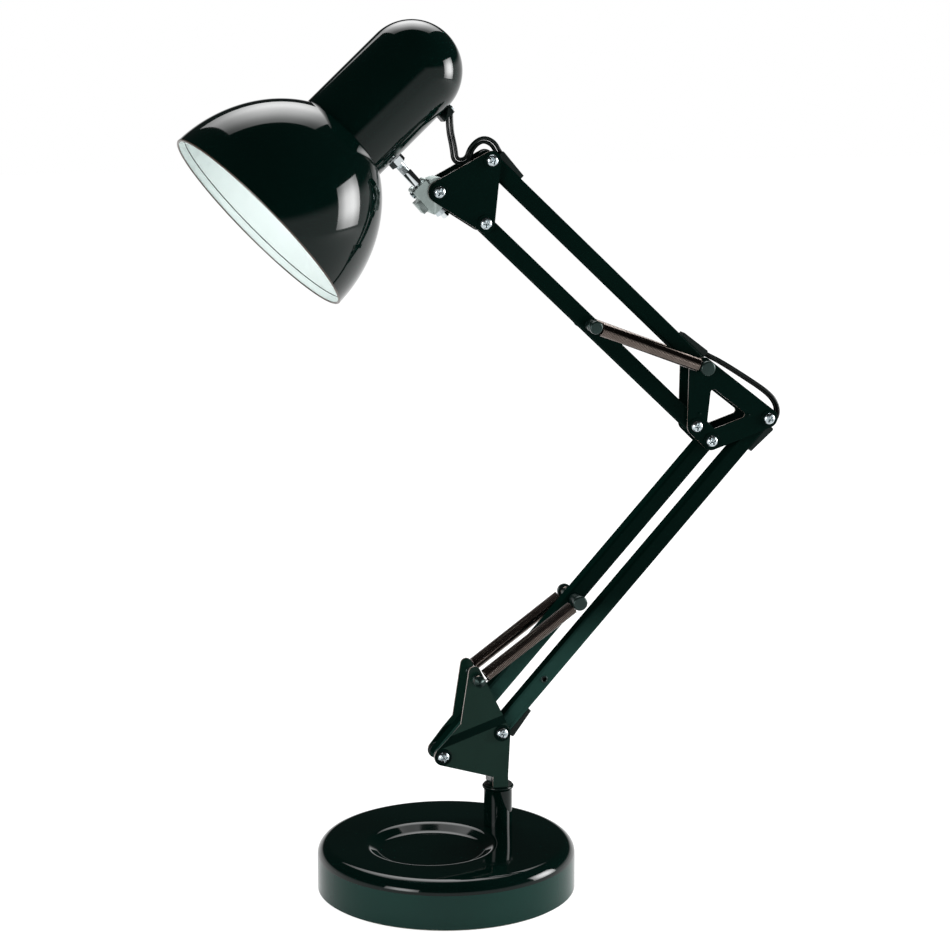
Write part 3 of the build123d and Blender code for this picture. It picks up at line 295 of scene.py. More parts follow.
class Look(Enum):
    """The lamp's finishes, each named for its material and how its surface was made."""

    # Stoving enamel flows out to a deep gloss with a faint teal cast and a little orange peel.
    ENAMEL = Finish("black_stoving_enamel", "#010C09", "#03110E", (0.04, 0.07), 30.0, 2.2, 0.0005, specular=0.2)
    # On the base's straight wall the enamel is painted a shade paler, as painted light on the upright side, and its
    # shine is less bright.
    LIT_WALL = Finish("black_enamel_wall", "#0C2A25", "#10302A", (0.12, 0.2), 24.0, 1.8, 0.0006, specular=0.12)
    # The same enamel on pressed plate is duller, so that its flat faces stay dark.
    PLATE = Finish("black_enamelled_plate", "#010E0B", "#03130F", (0.1, 0.18), 18.0, 1.6, 0.0006, specular=0.015)
    # The folded fork's enamel is painted lighter and more teal: painted light, for the light that falls on it low down
    # near the floor.
    LIT_FORK = Finish("dipped_black_enamel", "#0C211B", "#122A23", (0.14, 0.24), 14.0, 1.4, 0.0008, specular=0.08)
    # Cut edges and their bevels are painted a pale brown with full shine: a painted highlight for the bright lines
    # along the plates' edges.
    EDGE_HIGHLIGHT = Finish("sheared_plate_edge", "#8A7A71", "#665A53", (0.25, 0.35), 5.0, 0.8, 0.002, specular=1.0)
    # The tube's upper and lower faces are dull, so that no pale line runs along them.
    MATT = Finish("matt_black_enamel", "#02120E", "#041511", (0.5, 0.6), 25.0, 1.8, 0.0006, specular=0.0)
    # Enamel on square tube is as dull as on the plates.
    BAR = Finish("black_enamelled_tube", "#010D0A", "#03120E", (0.1, 0.18), 25.0, 1.8, 0.0006, specular=0.012)
    # The lower bars turn paler and greener towards their feet: painted light, for the light near the floor, as on the
    # fork.
    LOWER_BAR_LIT_FOOT = Finish(
        "black_enamelled_tube_low", "#010D0A", "#03120E", (0.1, 0.18), 25.0, 1.8, 0.0006, specular=0.012,
        lit_foot_colour="#1B342F", lit_foot_mm=(150.0, 200.0),
    )
    # White enamel inside the shade is soft in its gloss, so that it spreads the light.
    WHITE = Finish("white_shade_enamel", "#E8F0EE", "#DFEAE8", (0.3, 0.4), 22.0, 1.6, 0.002, specular=0.5)
    # The shade's rolled rim is painted pale brown: a painted highlight for the bright line along it.
    RIM_HIGHLIGHT = Finish("rim_enamel", "#4A3B30", "#2B2420", (0.25, 0.4), 6.0, 0.8, 0.002, specular=0.5)
    # Bright zinc plate has a faintly cloudy, bluish shine.
    ZINC = Finish("bright_zinc_plate", "#C6D0D3", "#9BA6AA", (0.16, 0.3), 2.5, 0.5, 0.003, 1.0, edge_mm=0.2)
    # Chrome plate over polished rod is a near mirror.
    CHROME = Finish("chrome_plate", "#D6DCDE", "#C3CACC", (0.05, 0.1), 8.0, 0.9, 0.0006, 1.0)
    # Die-cast zinc has a sandy skin that is grey with a green tinge.
    CASTING = Finish("die_cast_zinc", "#A5B1AF", "#87938F", (0.35, 0.5), 4.0, 0.7, 0.02, 1.0, edge_mm=0.5)
    # Oil-tempered wire is brown-grey, and only the crown of each turn shines.
    SPRING = Finish("oil_tempered_wire", "#786E68", "#524A45", (0.1, 0.16), 3.0, 0.5, 0.003, 1.0)
    # Blackened steel is dark with a soft metallic shine.
    BLACKENED = Finish("blackened_steel", "#1A2E2B", "#0F201D", (0.25, 0.38), 3.0, 0.5, 0.004, 0.6, edge_mm=0.3)
    # Moulded nylon shows the mould's fine spark texture.
    NYLON = Finish("moulded_nylon", "#040F0D", "#081613", (0.3, 0.42), 5.0, 0.35, 0.006, specular=0.14, edge_mm=0.8)
    # Soft PVC sheath is smooth with a waxy shine.
    SHEATH = Finish("pvc_flex_sheath", "#030A08", "#07100E", (0.2, 0.28), 9.0, 1.0, 0.004, specular=0.2)
    # Cast iron under a thin wash of paint is coarse and dull.
    IRON = Finish("sand_cast_iron", "#2B2B2A", "#3A3937", (0.6, 0.8), 9.0, 1.1, 0.09, 0.4)
    # Foamed pad under the base, pale with open cells.
    PAD = Finish("foam_pad", "#B5B3A6", "#9C9A8E", (0.85, 0.95), 5.0, 0.5, 0.08, specular=0.2, sheen=0.2)
    # Phenolic moulding is hard and brown-black.
    PHENOLIC = Finish("phenolic_moulding", "#15110F", "#1E1916", (0.2, 0.32), 6.0, 0.6, 0.004, specular=0.5)
    # Rolled brass of the contact, lightly tarnished.
    BRASS = Finish("rolled_brass", "#C6A04C", "#A98338", (0.22, 0.38), 2.0, 0.5, 0.003, 1.0)


# ---- Surfaces ----
@dataclass
class Surface:
    """A grid of points, rows by columns, whose rows close on themselves.

    A row with all its points in one place closes an end. The first finish covers every
    row of faces unless finishes gives each row's own.
    """

    points: np.ndarray
    loop: bool = False
    finishes: np.ndarray | None = None

    def faces(self, first: int) -> np.ndarray:
        """Corner numbers of the four-sided faces between neighbouring rows and columns.

        Args:
            first: Number of the surface's first point in its mesh.

        Returns:
            One line of four numbers for each face.
        """
        rows, columns = self.points.shape[:2]
        row = np.arange(rows if self.loop else rows - 1)[:, None]
        column = np.arange(columns)[None, :]
        after, beside = (row + 1) % rows, (column + 1) % columns
        corners = [row * columns + column, row * columns + beside, after * columns + beside, after * columns + column]
        return first + np.stack(corners, -1).reshape(-1, 4)


def unit(vector: Sequence[float]) -> np.ndarray:
    """The vector at length one."""
    array = np.asarray(vector, float)
    return array / np.linalg.norm(array)


def across(axis: np.ndarray) -> tuple[np.ndarray, np.ndarray]:
    """Two directions square to an axis and to each other.

    Args:
        axis: The axis, at length one.

    Returns:
        The axis crossed with the arms' cross direction, or with x where the axis is near
        that one, and the direction square to both.
    """
    helper = ACROSS if abs(axis[1]) < 0.9 else np.array([1.0, 0.0, 0.0])
    side = unit(np.cross(helper, axis))
    return side, np.cross(axis, side)


def turned(
    profile: Iterable[Sequence[float]],
    origin: Sequence[float],
    axis: Sequence[float],
    columns: int = 96,
    loop: bool = False,
    finishes: Sequence[int] | None = None,
) -> Surface:
    """Turned surface: origin + distance along the axis + radius round it.

    Args:
        profile: Pairs of distance along the axis and radius, in millimetres.
        origin: Point on the axis.
        axis: Direction of the axis.
        columns: Points round the axis.
        loop: Whether the profile's last point joins its first.
        finishes: Finish number of each span of the profile.

    Returns:
        The surface.
    """
    line = np.asarray(list(profile), float)
    direction = unit(axis)
    side, up = across(direction)
    turn = np.linspace(0, 2 * math.pi, columns, endpoint=False)
    ring = np.cos(turn)[:, None] * side + np.sin(turn)[:, None] * up
    points = np.asarray(origin, float) + line[:, None, :1] * direction + line[:, None, 1:] * ring
    marks = None if finishes is None else np.repeat(np.asarray(finishes), columns)
    return Surface(points, loop, marks)


def carried(section: np.ndarray, path: np.ndarray, flat: np.ndarray) -> Surface:
    """Section carried along a path: path + section x times flat + section y times the other.

    Flat is made square to the path at each point, and the two ends are closed.

    Args:
        section: Points of the section, in millimetres.
        path: Points of the path.
        flat: Direction of the section's x at each point of the path.

    Returns:
        The surface.
    """
    along = np.gradient(path, axis=0)
    along /= np.linalg.norm(along, axis=1, keepdims=True)
    wide = flat - np.sum(flat * along, axis=1, keepdims=True) * along
    wide /= np.linalg.norm(wide, axis=1, keepdims=True)
    high = np.cross(along, wide)
    points = path[:, None, :] + section[None, :, :1] * wide[:, None, :] + section[None, :, 1:] * high[:, None, :]
    ends = [np.repeat(points[i].mean(0)[None, None], points.shape[1], 1) for i in (0, -1)]
    return Surface(np.concatenate([ends[0], points, ends[1]]))


def circle(radius: float, points: int, start: float = 0.0) -> np.ndarray:
    """Points round a circle in its own plane."""
    turn = start + np.linspace(0, 2 * math.pi, points, endpoint=False)
    return radius * np.stack([np.cos(turn), np.sin(turn)], -1)


def bend(distance: float, radius: float, corner: float, steps: int = 6) -> list[tuple[float, float]]:
    """Quarter round of a profile, from a side wall round a corner to an end face.

    The corner's place less its rounding times (1 - sin of the turn) along the axis and
    times (1 - cos of the turn) in radius.

    Args:
        distance: Distance of the sharp corner along the axis.
        radius: Radius of the sharp corner.
        corner: Radius of the rounding.
        steps: Spans of the rounding.

    Returns:
        Pairs of distance and radius, from the side wall to the end face.
    """
    turn = np.linspace(0, math.pi / 2, steps + 1)
    d = distance - corner * (1 - np.sin(turn))
    r = radius - corner * (1 - np.cos(turn))
    return list(zip(d.tolist(), r.tolist()))


def placed(name: str, data: bpy.types.ID) -> bpy.types.Object:
    """Make an object and link it to the scene.

    Args:
        name: Name of the object.
        data: Its mesh, curve, light or camera.

    Returns:
        The new object.
    """
    made = bpy.data.objects.new(name, data)
    bpy.context.scene.collection.objects.link(made)
    return made


def finished(
    mesh: bpy.types.Mesh, looks: Sequence[Look], sharp_degrees: float, outward: bool, rounding: float = 0.0
) -> None:
    """Close a mesh's seams and poles, point it outwards, smooth it and give it its finishes.

    Args:
        mesh: Mesh in metres.
        looks: Finishes in the order of their numbers.
        sharp_degrees: Angle past which an edge stays sharp.
        outward: Whether the directions of the faces are worked out again.
        rounding: Width in millimetres of the band that breaks each sharp edge, in the second finish.
    """
    work = bmesh.new()
    work.from_mesh(mesh)
    bmesh.ops.remove_doubles(work, verts=work.verts, dist=SEAM)
    bmesh.ops.dissolve_degenerate(work, edges=work.edges, dist=SPECK)
    bmesh.ops.delete(work, geom=[edge for edge in work.edges if edge.is_wire], context="EDGES")
    if outward:
        bmesh.ops.recalc_face_normals(work, faces=work.faces)
    if rounding:
        bmesh.ops.dissolve_limit(work, angle_limit=math.radians(FLAT_DEGREES), verts=work.verts, edges=work.edges)
        limit = math.radians(CRISP_DEGREES)
        crisp = [edge for edge in work.edges if edge.is_manifold and edge.calc_face_angle() > limit]
        bmesh.ops.bevel(
            work, geom=crisp, offset=rounding * MM, offset_type="OFFSET", segments=2, profile=0.5,
            affect="EDGES", clamp_overlap=True, material=1,
        )
    work.to_mesh(mesh)
    work.free()
    mesh.polygons.foreach_set("use_smooth", np.ones(len(mesh.polygons), bool))
    mesh.set_sharp_from_angle(angle=math.radians(sharp_degrees))
    if mesh.materials:
        mesh.materials.clear()
    for look in looks:
        mesh.materials.append(look.value.build())
    mesh.update()


def piece(
    name: str,
    surfaces: Sequence[Surface],
    looks: Look | Sequence[Look],
    nodes: Sequence[str],
    body: str | None = None,
    sharp_degrees: float = 35.0,
) -> bpy.types.Object:
    """Make one piece of the lamp from its surfaces.

    Args:
        name: Name of the piece.
        surfaces: Closed surfaces in millimetres.
        looks: Its finish, or several.
        nodes: Solids that it stands for.
        body: Body that it moves with, or None to leave it on no body.
        sharp_degrees: Angle past which an edge stays sharp.

    Returns:
        The new object.
    """
    vertices, faces, marks, count = [], [], [], 0
    for surface in surfaces:
        flat_points = surface.points.reshape(-1, 3)
        quads = surface.faces(count)
        vertices.append(flat_points * MM)
        faces.append(quads)
        marks.append(np.zeros(len(quads), np.int32) if surface.finishes is None else surface.finishes)
        count += len(flat_points)
    mesh = bpy.data.meshes.new(name)
    mesh.from_pydata(np.concatenate(vertices).tolist(), [], np.concatenate(faces).tolist())
    mesh.polygons.foreach_set("material_index", np.concatenate(marks).astype(np.int32))
    finished(mesh, [looks] if isinstance(looks, Look) else looks, sharp_degrees, True)
    made = placed(name, mesh)
    if nodes:
        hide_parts(*nodes)
    if body:
        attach(made, body)
    LOG.info("%s: %d faces", name, len(mesh.polygons))
    return made


def refined(
    nodes: Iterable[str],
    look: Look,
    edge: Look | None = None,
    fold: Look | None = None,
    sheet: bool = False,
) -> None:
    """Stand a merged, smoothly shaded copy for each of these solids.

    Args:
        nodes: Names of the solids.
        look: Their finish.
        edge: Finish of the faces that lie square to the arms' plane, if it's another.
        fold: Finish of the faces that lean out of the arms' plane, if it's another; on the fork a darker one, as
            painted shade on its step.
        sheet: Whether the solid is cut from sheet, so that its sharp edges are broken.
    """
    for node in nodes:
        source = frame["nodes"][node]
        mesh = source.data.copy()
        mesh.name = node + "_shell"
        looks = [look, edge or look, fold or look]
        finished(mesh, looks, SHARP_DEGREES, False, SHEET_EDGE if sheet else 0.0)
        for face in mesh.polygons:
            facing = abs(face.normal.y)
            heights = [mesh.vertices[corner].co.y for corner in face.vertices]
            thin = not sheet or max(heights) - min(heights) < SHEET_DEPTH * MM
            face.use_smooth = not sheet or facing < FLAT_FACING
            # Square, thin faces take the edge finish; leaning faces take the fold finish, which on the fork is painted
            # shade.
            if facing < EDGE_FACING and thin:
                face.material_index = 1
            elif face.material_index != 1 and EDGE_FACING < facing < FLAT_FACING:
                face.material_index = 2
        copy = placed(node + "_shell", mesh)
        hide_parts(node)
        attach(copy, source["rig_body"])
        LOG.info("%s: %d faces", copy.name, len(mesh.polygons))


# ---- The linkage's own points ----
class Linkage:
    """Points and directions of the lamp, in millimetres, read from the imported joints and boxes."""

    def __init__(self) -> None:
        """Read the joints."""
        self.joints = {joint["name"]: joint for joint in frame["joints"]}
        self.fork_right = self.pivot("lower_arm")
        self.fork_left = self.pivot("lower_left_pivot")
        self.elbow_right = self.pivot("elbow_level")
        self.elbow_top = self.pivot("upper_arm")
        self.elbow_low = self.pivot("upper_bottom_pivot")
        self.head_top = self.pivot("head_level")
        self.tilt = self.pivot("head_tilt")
        self.head_middle = self.pivot("head_swivel")
        self.rod_up = unit(self.joints["head_swivel"]["axis"])
        self.elbow_left = self.fork_left + self.elbow_right - self.fork_right
        self.head_low = self.elbow_low + self.head_top - self.elbow_top
        mounts = {mount["name"]: mount for mount in frame["record"]["mounts"]}
        self.shade_back = -unit(mounts["lampholder_bore"]["axis"])

    def pivot(self, joint: str) -> np.ndarray:
        """The joint's place at rest."""
        return np.array(self.joints[joint]["pos_m"], float) * METRE

    def middle(self, node: str) -> np.ndarray:
        """Middle of a solid's box, in the plane of the arms.

        Args:
            node: Name of the solid.

        Returns:
            The point.
        """
        low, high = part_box(node)
        place = (np.array(low) + np.array(high)) / 2 * METRE
        place[1] = self.fork_right[1]
        return place

    def at(self, x: float, z: float, forward: float = 0.0) -> np.ndarray:
        """Point of the plane of the arms, moved towards the front."""
        return np.array([x, self.fork_right[1] - forward, z])

    def beside(self, start: np.ndarray, end: np.ndarray, distance: float, left: float) -> np.ndarray:
        """Point a distance along a bar from start towards end, and out to its left."""
        run = unit(end - start)
        return start + distance * run + left * np.array([-run[2], 0.0, run[0]])


# ---- Base and stem ----
@dataclass
class BaseAndStem:
    """Weighted base with its dish, and the stem that the arms turn on. Sizes in millimetres."""

    linkage: Linkage
    radius: float = 90.0
    top: float = 34.0
    bottom: float = 1.0
    wall: float = 1.2
    edge: float = 9.0
    tray_offset: float = 14.1
    tray_radius: float = 44.5
    tray_floor_radius: float = 36.0
    tray_depth: float = 5.0
    tray_blend: float = 8.0
    tray_rings: tuple[float, ...] = (24.0, 12.0, 0.0)
    tray_under: tuple[float, float] = (0.5, 2.0)
    pale_height: float = 12.0
    columns: int = 192
    stem_radius: float = 10.0
    stem_wall: float = 1.5
    stem_foot: float = 16.0
    lip_radius: float = 11.2
    lip_height: float = 2.4
    lip_slope: float = 0.6
    lip_step: float = 0.15
    lip_side: float = 1.1
    lip_round: float = 0.9
    bore_chamfer: tuple[float, float] = (0.6, 0.5)
    rise: float = 29.0

    def tray_profile(self) -> list[tuple[float, float]]:
        """Dish from its rim to its middle: two tangent arcs join the flat top, the slope and the floor.

        Returns:
            Pairs of height and radius about the dish's own axis.
        """
        run, fall = self.tray_radius - self.tray_floor_radius, self.tray_depth
        slope = math.atan2(fall, run)
        cut = self.tray_blend * math.tan(slope / 2)
        turn = np.linspace(0, slope, 9)
        crown_r = self.tray_radius + cut - self.tray_blend * np.sin(turn)
        crown_z = self.top - self.tray_blend * (1 - np.cos(turn))
        foot_r = self.tray_floor_radius - cut + self.tray_blend * np.sin(turn[::-1])
        foot_z = self.top - fall + self.tray_blend * (1 - np.cos(turn[::-1]))
        floor = [(self.top - fall, r) for r in self.tray_rings]
        return list(zip(crown_z, crown_r)) + list(zip(foot_z, foot_r)) + floor

    def cover(self) -> None:
        """Pressed cover with its inner wall: rings whose centre slides from the base's axis to the dish's."""
        heading = unit([self.linkage.fork_right[0], self.linkage.fork_right[1], 0.0])
        shift = -self.tray_offset * heading
        inner = self.radius - self.wall
        side = [(self.bottom, self.radius), (self.bottom + self.pale_height, self.radius)]
        side += [(self.top - self.edge - HAIR, self.radius), *bend(self.top, self.radius, self.edge, 14)]
        dish = self.tray_profile()
        under_dish = [(self.top - self.tray_depth - self.wall, r) for r in (0.0, self.tray_floor_radius)]
        drop, spread = self.tray_under
        under_dish += [(self.top - self.wall - drop, self.tray_radius + spread)]
        under_side = [(self.top - self.edge, inner), (self.bottom, inner)]
        height, radius = np.array(side + dish + under_dish + under_side).T
        counts = (len(side), len(dish) + len(under_dish), len(under_side))
        slide = np.repeat([0.0, 1.0, 0.0], counts)
        turn = np.linspace(0, 2 * math.pi, self.columns, endpoint=False)
        ring = np.stack([np.cos(turn), np.sin(turn), np.zeros_like(turn)], -1)
        points = radius[:, None, None] * ring + slide[:, None, None] * shift
        points[:, :, 2] = height[:, None]
        marks = np.zeros(len(height), np.int32)
        # The straight wall and the underside take the paler wall enamel: painted light on the upright side.
        marks[:2] = marks[-2:] = 1
        surface = Surface(points, True, np.repeat(marks, len(turn)))
        piece("base_shell", [surface], [Look.ENAMEL, Look.LIT_WALL], ["base_cover"], "base")

    def stem(self) -> None:
        """Tube with a flared lip, turned round the stem's axis with its bore."""
        place = [self.linkage.fork_right[0], self.linkage.fork_right[1], 0.0]
        lip = self.top + self.rise
        flare = lip - self.lip_height
        outside = [(self.stem_foot, self.stem_radius), (flare - self.lip_slope, self.stem_radius)]
        outside += [(flare + self.lip_slope, self.lip_radius - self.lip_step), (lip - self.lip_side, self.lip_radius)]
        outside += bend(lip, self.lip_radius, self.lip_round)
        bore = self.stem_radius - self.stem_wall
        deep, wide = self.bore_chamfer
        inside = [(lip, bore + wide), (lip - deep, bore), (self.stem_foot, bore)]
        surface = turned(outside + inside, place, UP, 96, True)
        piece("stem_shell", [surface], Look.ENAMEL, ["stem_tube"], "base")

    def build(self) -> None:
        """Make the cover and the stem, and dress the rest."""
        self.cover()
        self.stem()
        refined(["stem_bush", "cord_gland"], Look.NYLON)
        refined(["base_weight"], Look.IRON)
        refined(["base_pad"], Look.PAD)


# ---- Pivot hardware ----
@dataclass
class PivotScrew:
    """Pan-head screw with a cross recess, its washer and its plain shank. Sizes in millimetres."""

    head_radius: float = 4.25
    head_height: float = 2.6
    head_rows: int = 30
    head_columns: int = 64
    crowding: float = 0.9
    fullness: float = 3.2
    flatness: float = 1.7
    recess_reach: float = 2.5
    recess_half: float = 0.55
    recess_depth: float = 1.25
    recess_middle: float = 0.6
    recess_rise: float = 0.35
    side_slope: float = 0.25
    end_slope: float = 0.4
    first_turn: float = 0.35
    next_turn: float = 1.13
    shank_radius: float = 2.5
    front: float = 11.05
    back: float = 16.05
    ring_radius: float = 5.9
    ring_bore: float = 2.55
    ring_front: float = 10.25
    ring_height: float = 0.8
    ring_chamfer: float = 0.2

    def head(self, pivot: np.ndarray, turn: float) -> Surface:
        """Head as a height over a disc.

        The dome is height times (1 - (r/R)^fullness)^(1/flatness). The recess is cut where
        the nearer cross arm's half width and its reach say so, each over a short slope, and
        it grows shallower away from the middle.

        Args:
            pivot: Pivot in the middle plane.
            turn: Angle of the cross in radians.

        Returns:
            The closed surface of the head and its shank.
        """
        radius = np.linspace(0, 1, self.head_rows)[:, None] ** self.crowding * self.head_radius
        angle = np.linspace(0, 2 * math.pi, self.head_columns, endpoint=False)[None, :]
        x, z = radius * np.cos(angle), radius * np.sin(angle)
        share = np.clip(radius / self.head_radius, 0, 1)
        dome = self.head_height * (1 - share**self.fullness) ** (1 / self.flatness)
        a = x * math.cos(turn) + z * math.sin(turn)
        b = z * math.cos(turn) - x * math.sin(turn)
        near, far = np.minimum(abs(a), abs(b)), np.maximum(abs(a), abs(b))
        slot = np.clip((self.recess_half - near) / self.side_slope + 0.5, 0, 1)
        slot *= np.clip((self.recess_reach - far) / self.end_slope + 0.5, 0, 1)
        depth = slot * (self.recess_depth + self.recess_middle - self.recess_rise * far)
        forward = self.front + dome - depth
        top = np.stack([pivot[0] + x, pivot[1] - forward, pivot[2] + z], -1)
        distance = np.array([self.front, self.front, -self.back, -self.back])[:, None]
        wide = np.array([self.head_radius, self.shank_radius, self.shank_radius, 0.0])[:, None]
        level = np.broadcast_to(pivot[1] - distance, (len(wide), self.head_columns))
        shank = np.stack([pivot[0] + wide * np.cos(angle), level, pivot[2] + wide * np.sin(angle)], -1)
        return Surface(np.concatenate([top, shank]))

    def washer(self, pivot: np.ndarray, forward: float) -> Surface:
        """Turn a washer with broken edges.

        Args:
            pivot: Pivot in the middle plane.
            forward: Distance of its rear face in front of that plane.

        Returns:
            The closed surface.
        """
        height, radius, chamfer = self.ring_height, self.ring_radius, self.ring_chamfer
        profile = [(0, self.ring_bore), (0, radius - chamfer), (chamfer, radius)]
        profile += [(height - chamfer, radius), (height, radius - chamfer), (height, self.ring_bore)]
        return turned(profile, pivot + forward * FRONT, FRONT, 64, True)

    def build(self, name: str, pivots: Sequence[np.ndarray], body: str) -> None:
        """Make the screws and washers of one plate pair.

        Args:
            name: First part of the solids' names.
            pivots: The pivots that the screws go through.
            body: Body that they ride on.
        """
        heads = [self.head(pivot, self.first_turn + self.next_turn * i) for i, pivot in enumerate(pivots)]
        piece(name + "_screw_set", heads, Look.ZINC, [name + "_screws"], body, 40)
        sides = (self.ring_front, -self.ring_front - self.ring_height)
        rings = [self.washer(pivot, side) for pivot in pivots for side in sides]
        piece(name + "_washer_set", rings, Look.PLATE, [name + "_rings"], body)
        refined([name + "_nuts"], Look.ZINC)


@dataclass
class GroovedPost:
    """Post whose grooves hold the spring hooks, with a domed head at each end."""

    core_radius: float = 2.5
    shoulder_radius: float = 4.0
    shoulder_chamfer: float = 0.5
    groove: tuple[float, float] = (13.9, 17.4)
    groove_round: float = 0.3
    head_height: float = 3.5
    head_chamfer: float = 0.4
    crown_round: float = 1.3

    def surface(self, place: np.ndarray, pin: float, head: float, inner: float) -> Surface:
        """Post turned round its axis: pin, shoulder, groove and head, the same both ways.

        Args:
            place: Its place in the middle plane.
            pin: Radius of the pin in the bar or plates.
            head: Radius of the heads.
            inner: Half the length of the pin.

        Returns:
            The closed surface.
        """
        start, end = self.groove
        core, soft, chamfer, crown = self.core_radius, self.groove_round, self.head_chamfer, self.crown_round
        turn = np.linspace(0, math.pi / 2, 8)
        far, wide = end + self.head_height - crown, head - crown
        half = [(inner, pin), (inner, self.shoulder_radius), (start - self.shoulder_chamfer, self.shoulder_radius)]
        half += [(start, core + soft), (start + chamfer, core), (end - soft, core), (end, core + soft)]
        half += [(end, head - chamfer), (end + chamfer, head)]
        half += [(far + crown * math.sin(t), wide + crown * math.cos(t)) for t in turn]
        half += [(end + self.head_height, 0.0)]
        back = [(-d, r) for d, r in reversed(half)]
        return turned(back + half, place, FRONT, 64)


# ---- Arms ----
@dataclass
class Arms:
    """The four bars with their bushes and guides, and the plates that join them. Sizes in millimetres."""

    linkage: Linkage
    bar_half: float = 5.75
    plate_outer: float = 10.25
    pin_radius: float = 3.5
    pin_gap: float = 0.05
    lower_head: float = 5.2
    upper_head: float = 4.6
    elbow_head: float = 5.25
    dimple_radius: float = 1.9
    dimple_height: float = 0.6
    dimple_root: float = 0.2
    dimple_places: tuple[tuple[float, float], ...] = ((186.9, 324.9), (223.6, 322.5))
    eyelet_distance: float = 48.0
    eyelet_radius: float = 2.05
    eyelet_roll: float = 0.5
    eyelet_wall: float = 0.15
    eyelet_depth: float = 0.8
    eyelet_lap: float = 0.1

    def dimples(self) -> None:
        """Stiffening dimples of the elbow's front plate: height times (1 + cos of the radius) / 2."""
        share = np.linspace(1, 0, 10)
        profile = [(-self.dimple_root, self.dimple_radius)]
        profile += [(self.dimple_height * (1 + math.cos(math.pi * s)) / 2, self.dimple_radius * s) for s in share]
        profile.append((-self.dimple_root, 0.0))
        places = [self.linkage.at(x, z, self.plate_outer) for x, z in self.dimple_places]
        surfaces = [turned(profile, place, FRONT, 32, True) for place in places]
        piece("elbow_dimples", surfaces, Look.PLATE, [], "elbow")

    def eyelet(self) -> None:
        """Rolled eyelet round the hole in the front of the lower right bar: half a ring and a collar."""
        here = self.linkage
        place = here.beside(here.fork_right, here.elbow_right, self.eyelet_distance, 0.0)
        turn = np.radians(np.linspace(0, 180, 9))
        face, middle, roll = self.bar_half, self.eyelet_radius, self.eyelet_roll
        collar = middle - roll + self.eyelet_wall
        profile = [(face + roll * math.sin(t), middle + roll * math.cos(t)) for t in turn]
        profile += [(face - self.eyelet_depth, middle - roll), (face - self.eyelet_depth, collar)]
        profile += [(face - self.eyelet_lap, collar), (face - self.eyelet_lap, middle + roll)]
        ring = turned(profile, place, FRONT, 48, True)
        piece("lower_bar_eyelet", [ring], Look.BLACKENED, [], "lower_right")

    def posts(self) -> None:
        """Spring posts of both arms, of the elbow and of the fork."""
        here, pin = self.linkage, self.pin_radius
        low, high, top = here.middle("lower_spring_post"), here.middle("upper_spring_post"), here.elbow_top
        plans = [
            ("lower_post_turned", (low, pin, self.lower_head, self.bar_half), "lower_spring_post", "lower_left"),
            ("upper_post_turned", (high, pin, self.upper_head, self.bar_half), "upper_spring_post", "upper_bottom"),
            ("elbow_post_turned", (top, pin - self.pin_gap, self.elbow_head, self.plate_outer), "elbow_post", "elbow"),
        ]
        for name, sizes, node, body in plans:
            piece(name, [GroovedPost().surface(*sizes)], Look.BLACKENED, [node], body)
        refined(["fork_studs"], Look.BLACKENED)

    def build(self) -> None:
        """Make the screws, posts and dimples, and smooth the bars, plates and mouldings."""
        here = self.linkage
        hardware = PivotScrew()
        hardware.build("fork", [here.fork_left, here.fork_right], "fork")
        hardware.build("elbow", [here.elbow_left, here.elbow_low, here.elbow_right], "elbow")
        hardware.build("head", [here.head_top, here.head_low, here.tilt], "head_bracket")
        self.posts()
        self.dimples()
        self.eyelet()
        refined(["lower_bar_right", "lower_bar_left"], Look.LOWER_BAR_LIT_FOOT, edge=Look.MATT)
        refined(["upper_bar_top", "upper_bar_bottom"], Look.BAR, edge=Look.MATT)
        plates = ["elbow_front_plate", "elbow_rear_plate", "head_front_plate", "head_rear_plate"]
        # The plates' cut edges and bevels take the pale brown edge finish: a painted highlight.
        refined(plates, Look.PLATE, edge=Look.EDGE_HIGHLIGHT, sheet=True)
        # The fork takes painted light all over, a painted highlight on its cut edges and a darker enamel on its
        # leaning step as painted shade.
        refined(["fork_bracket"], Look.LIT_FORK, edge=Look.EDGE_HIGHLIGHT, fold=Look.PLATE, sheet=True)
        refined(["fork_pin", "pin_collar"], Look.PLATE)
        mouldings = ["lower_right_bushes", "lower_left_bushes", "upper_top_bushes", "elbow_top_bushes"]
        mouldings += ["upper_bottom_bushes", "lower_cord_guides", "upper_cord_guides"]
        refined(mouldings, Look.NYLON)


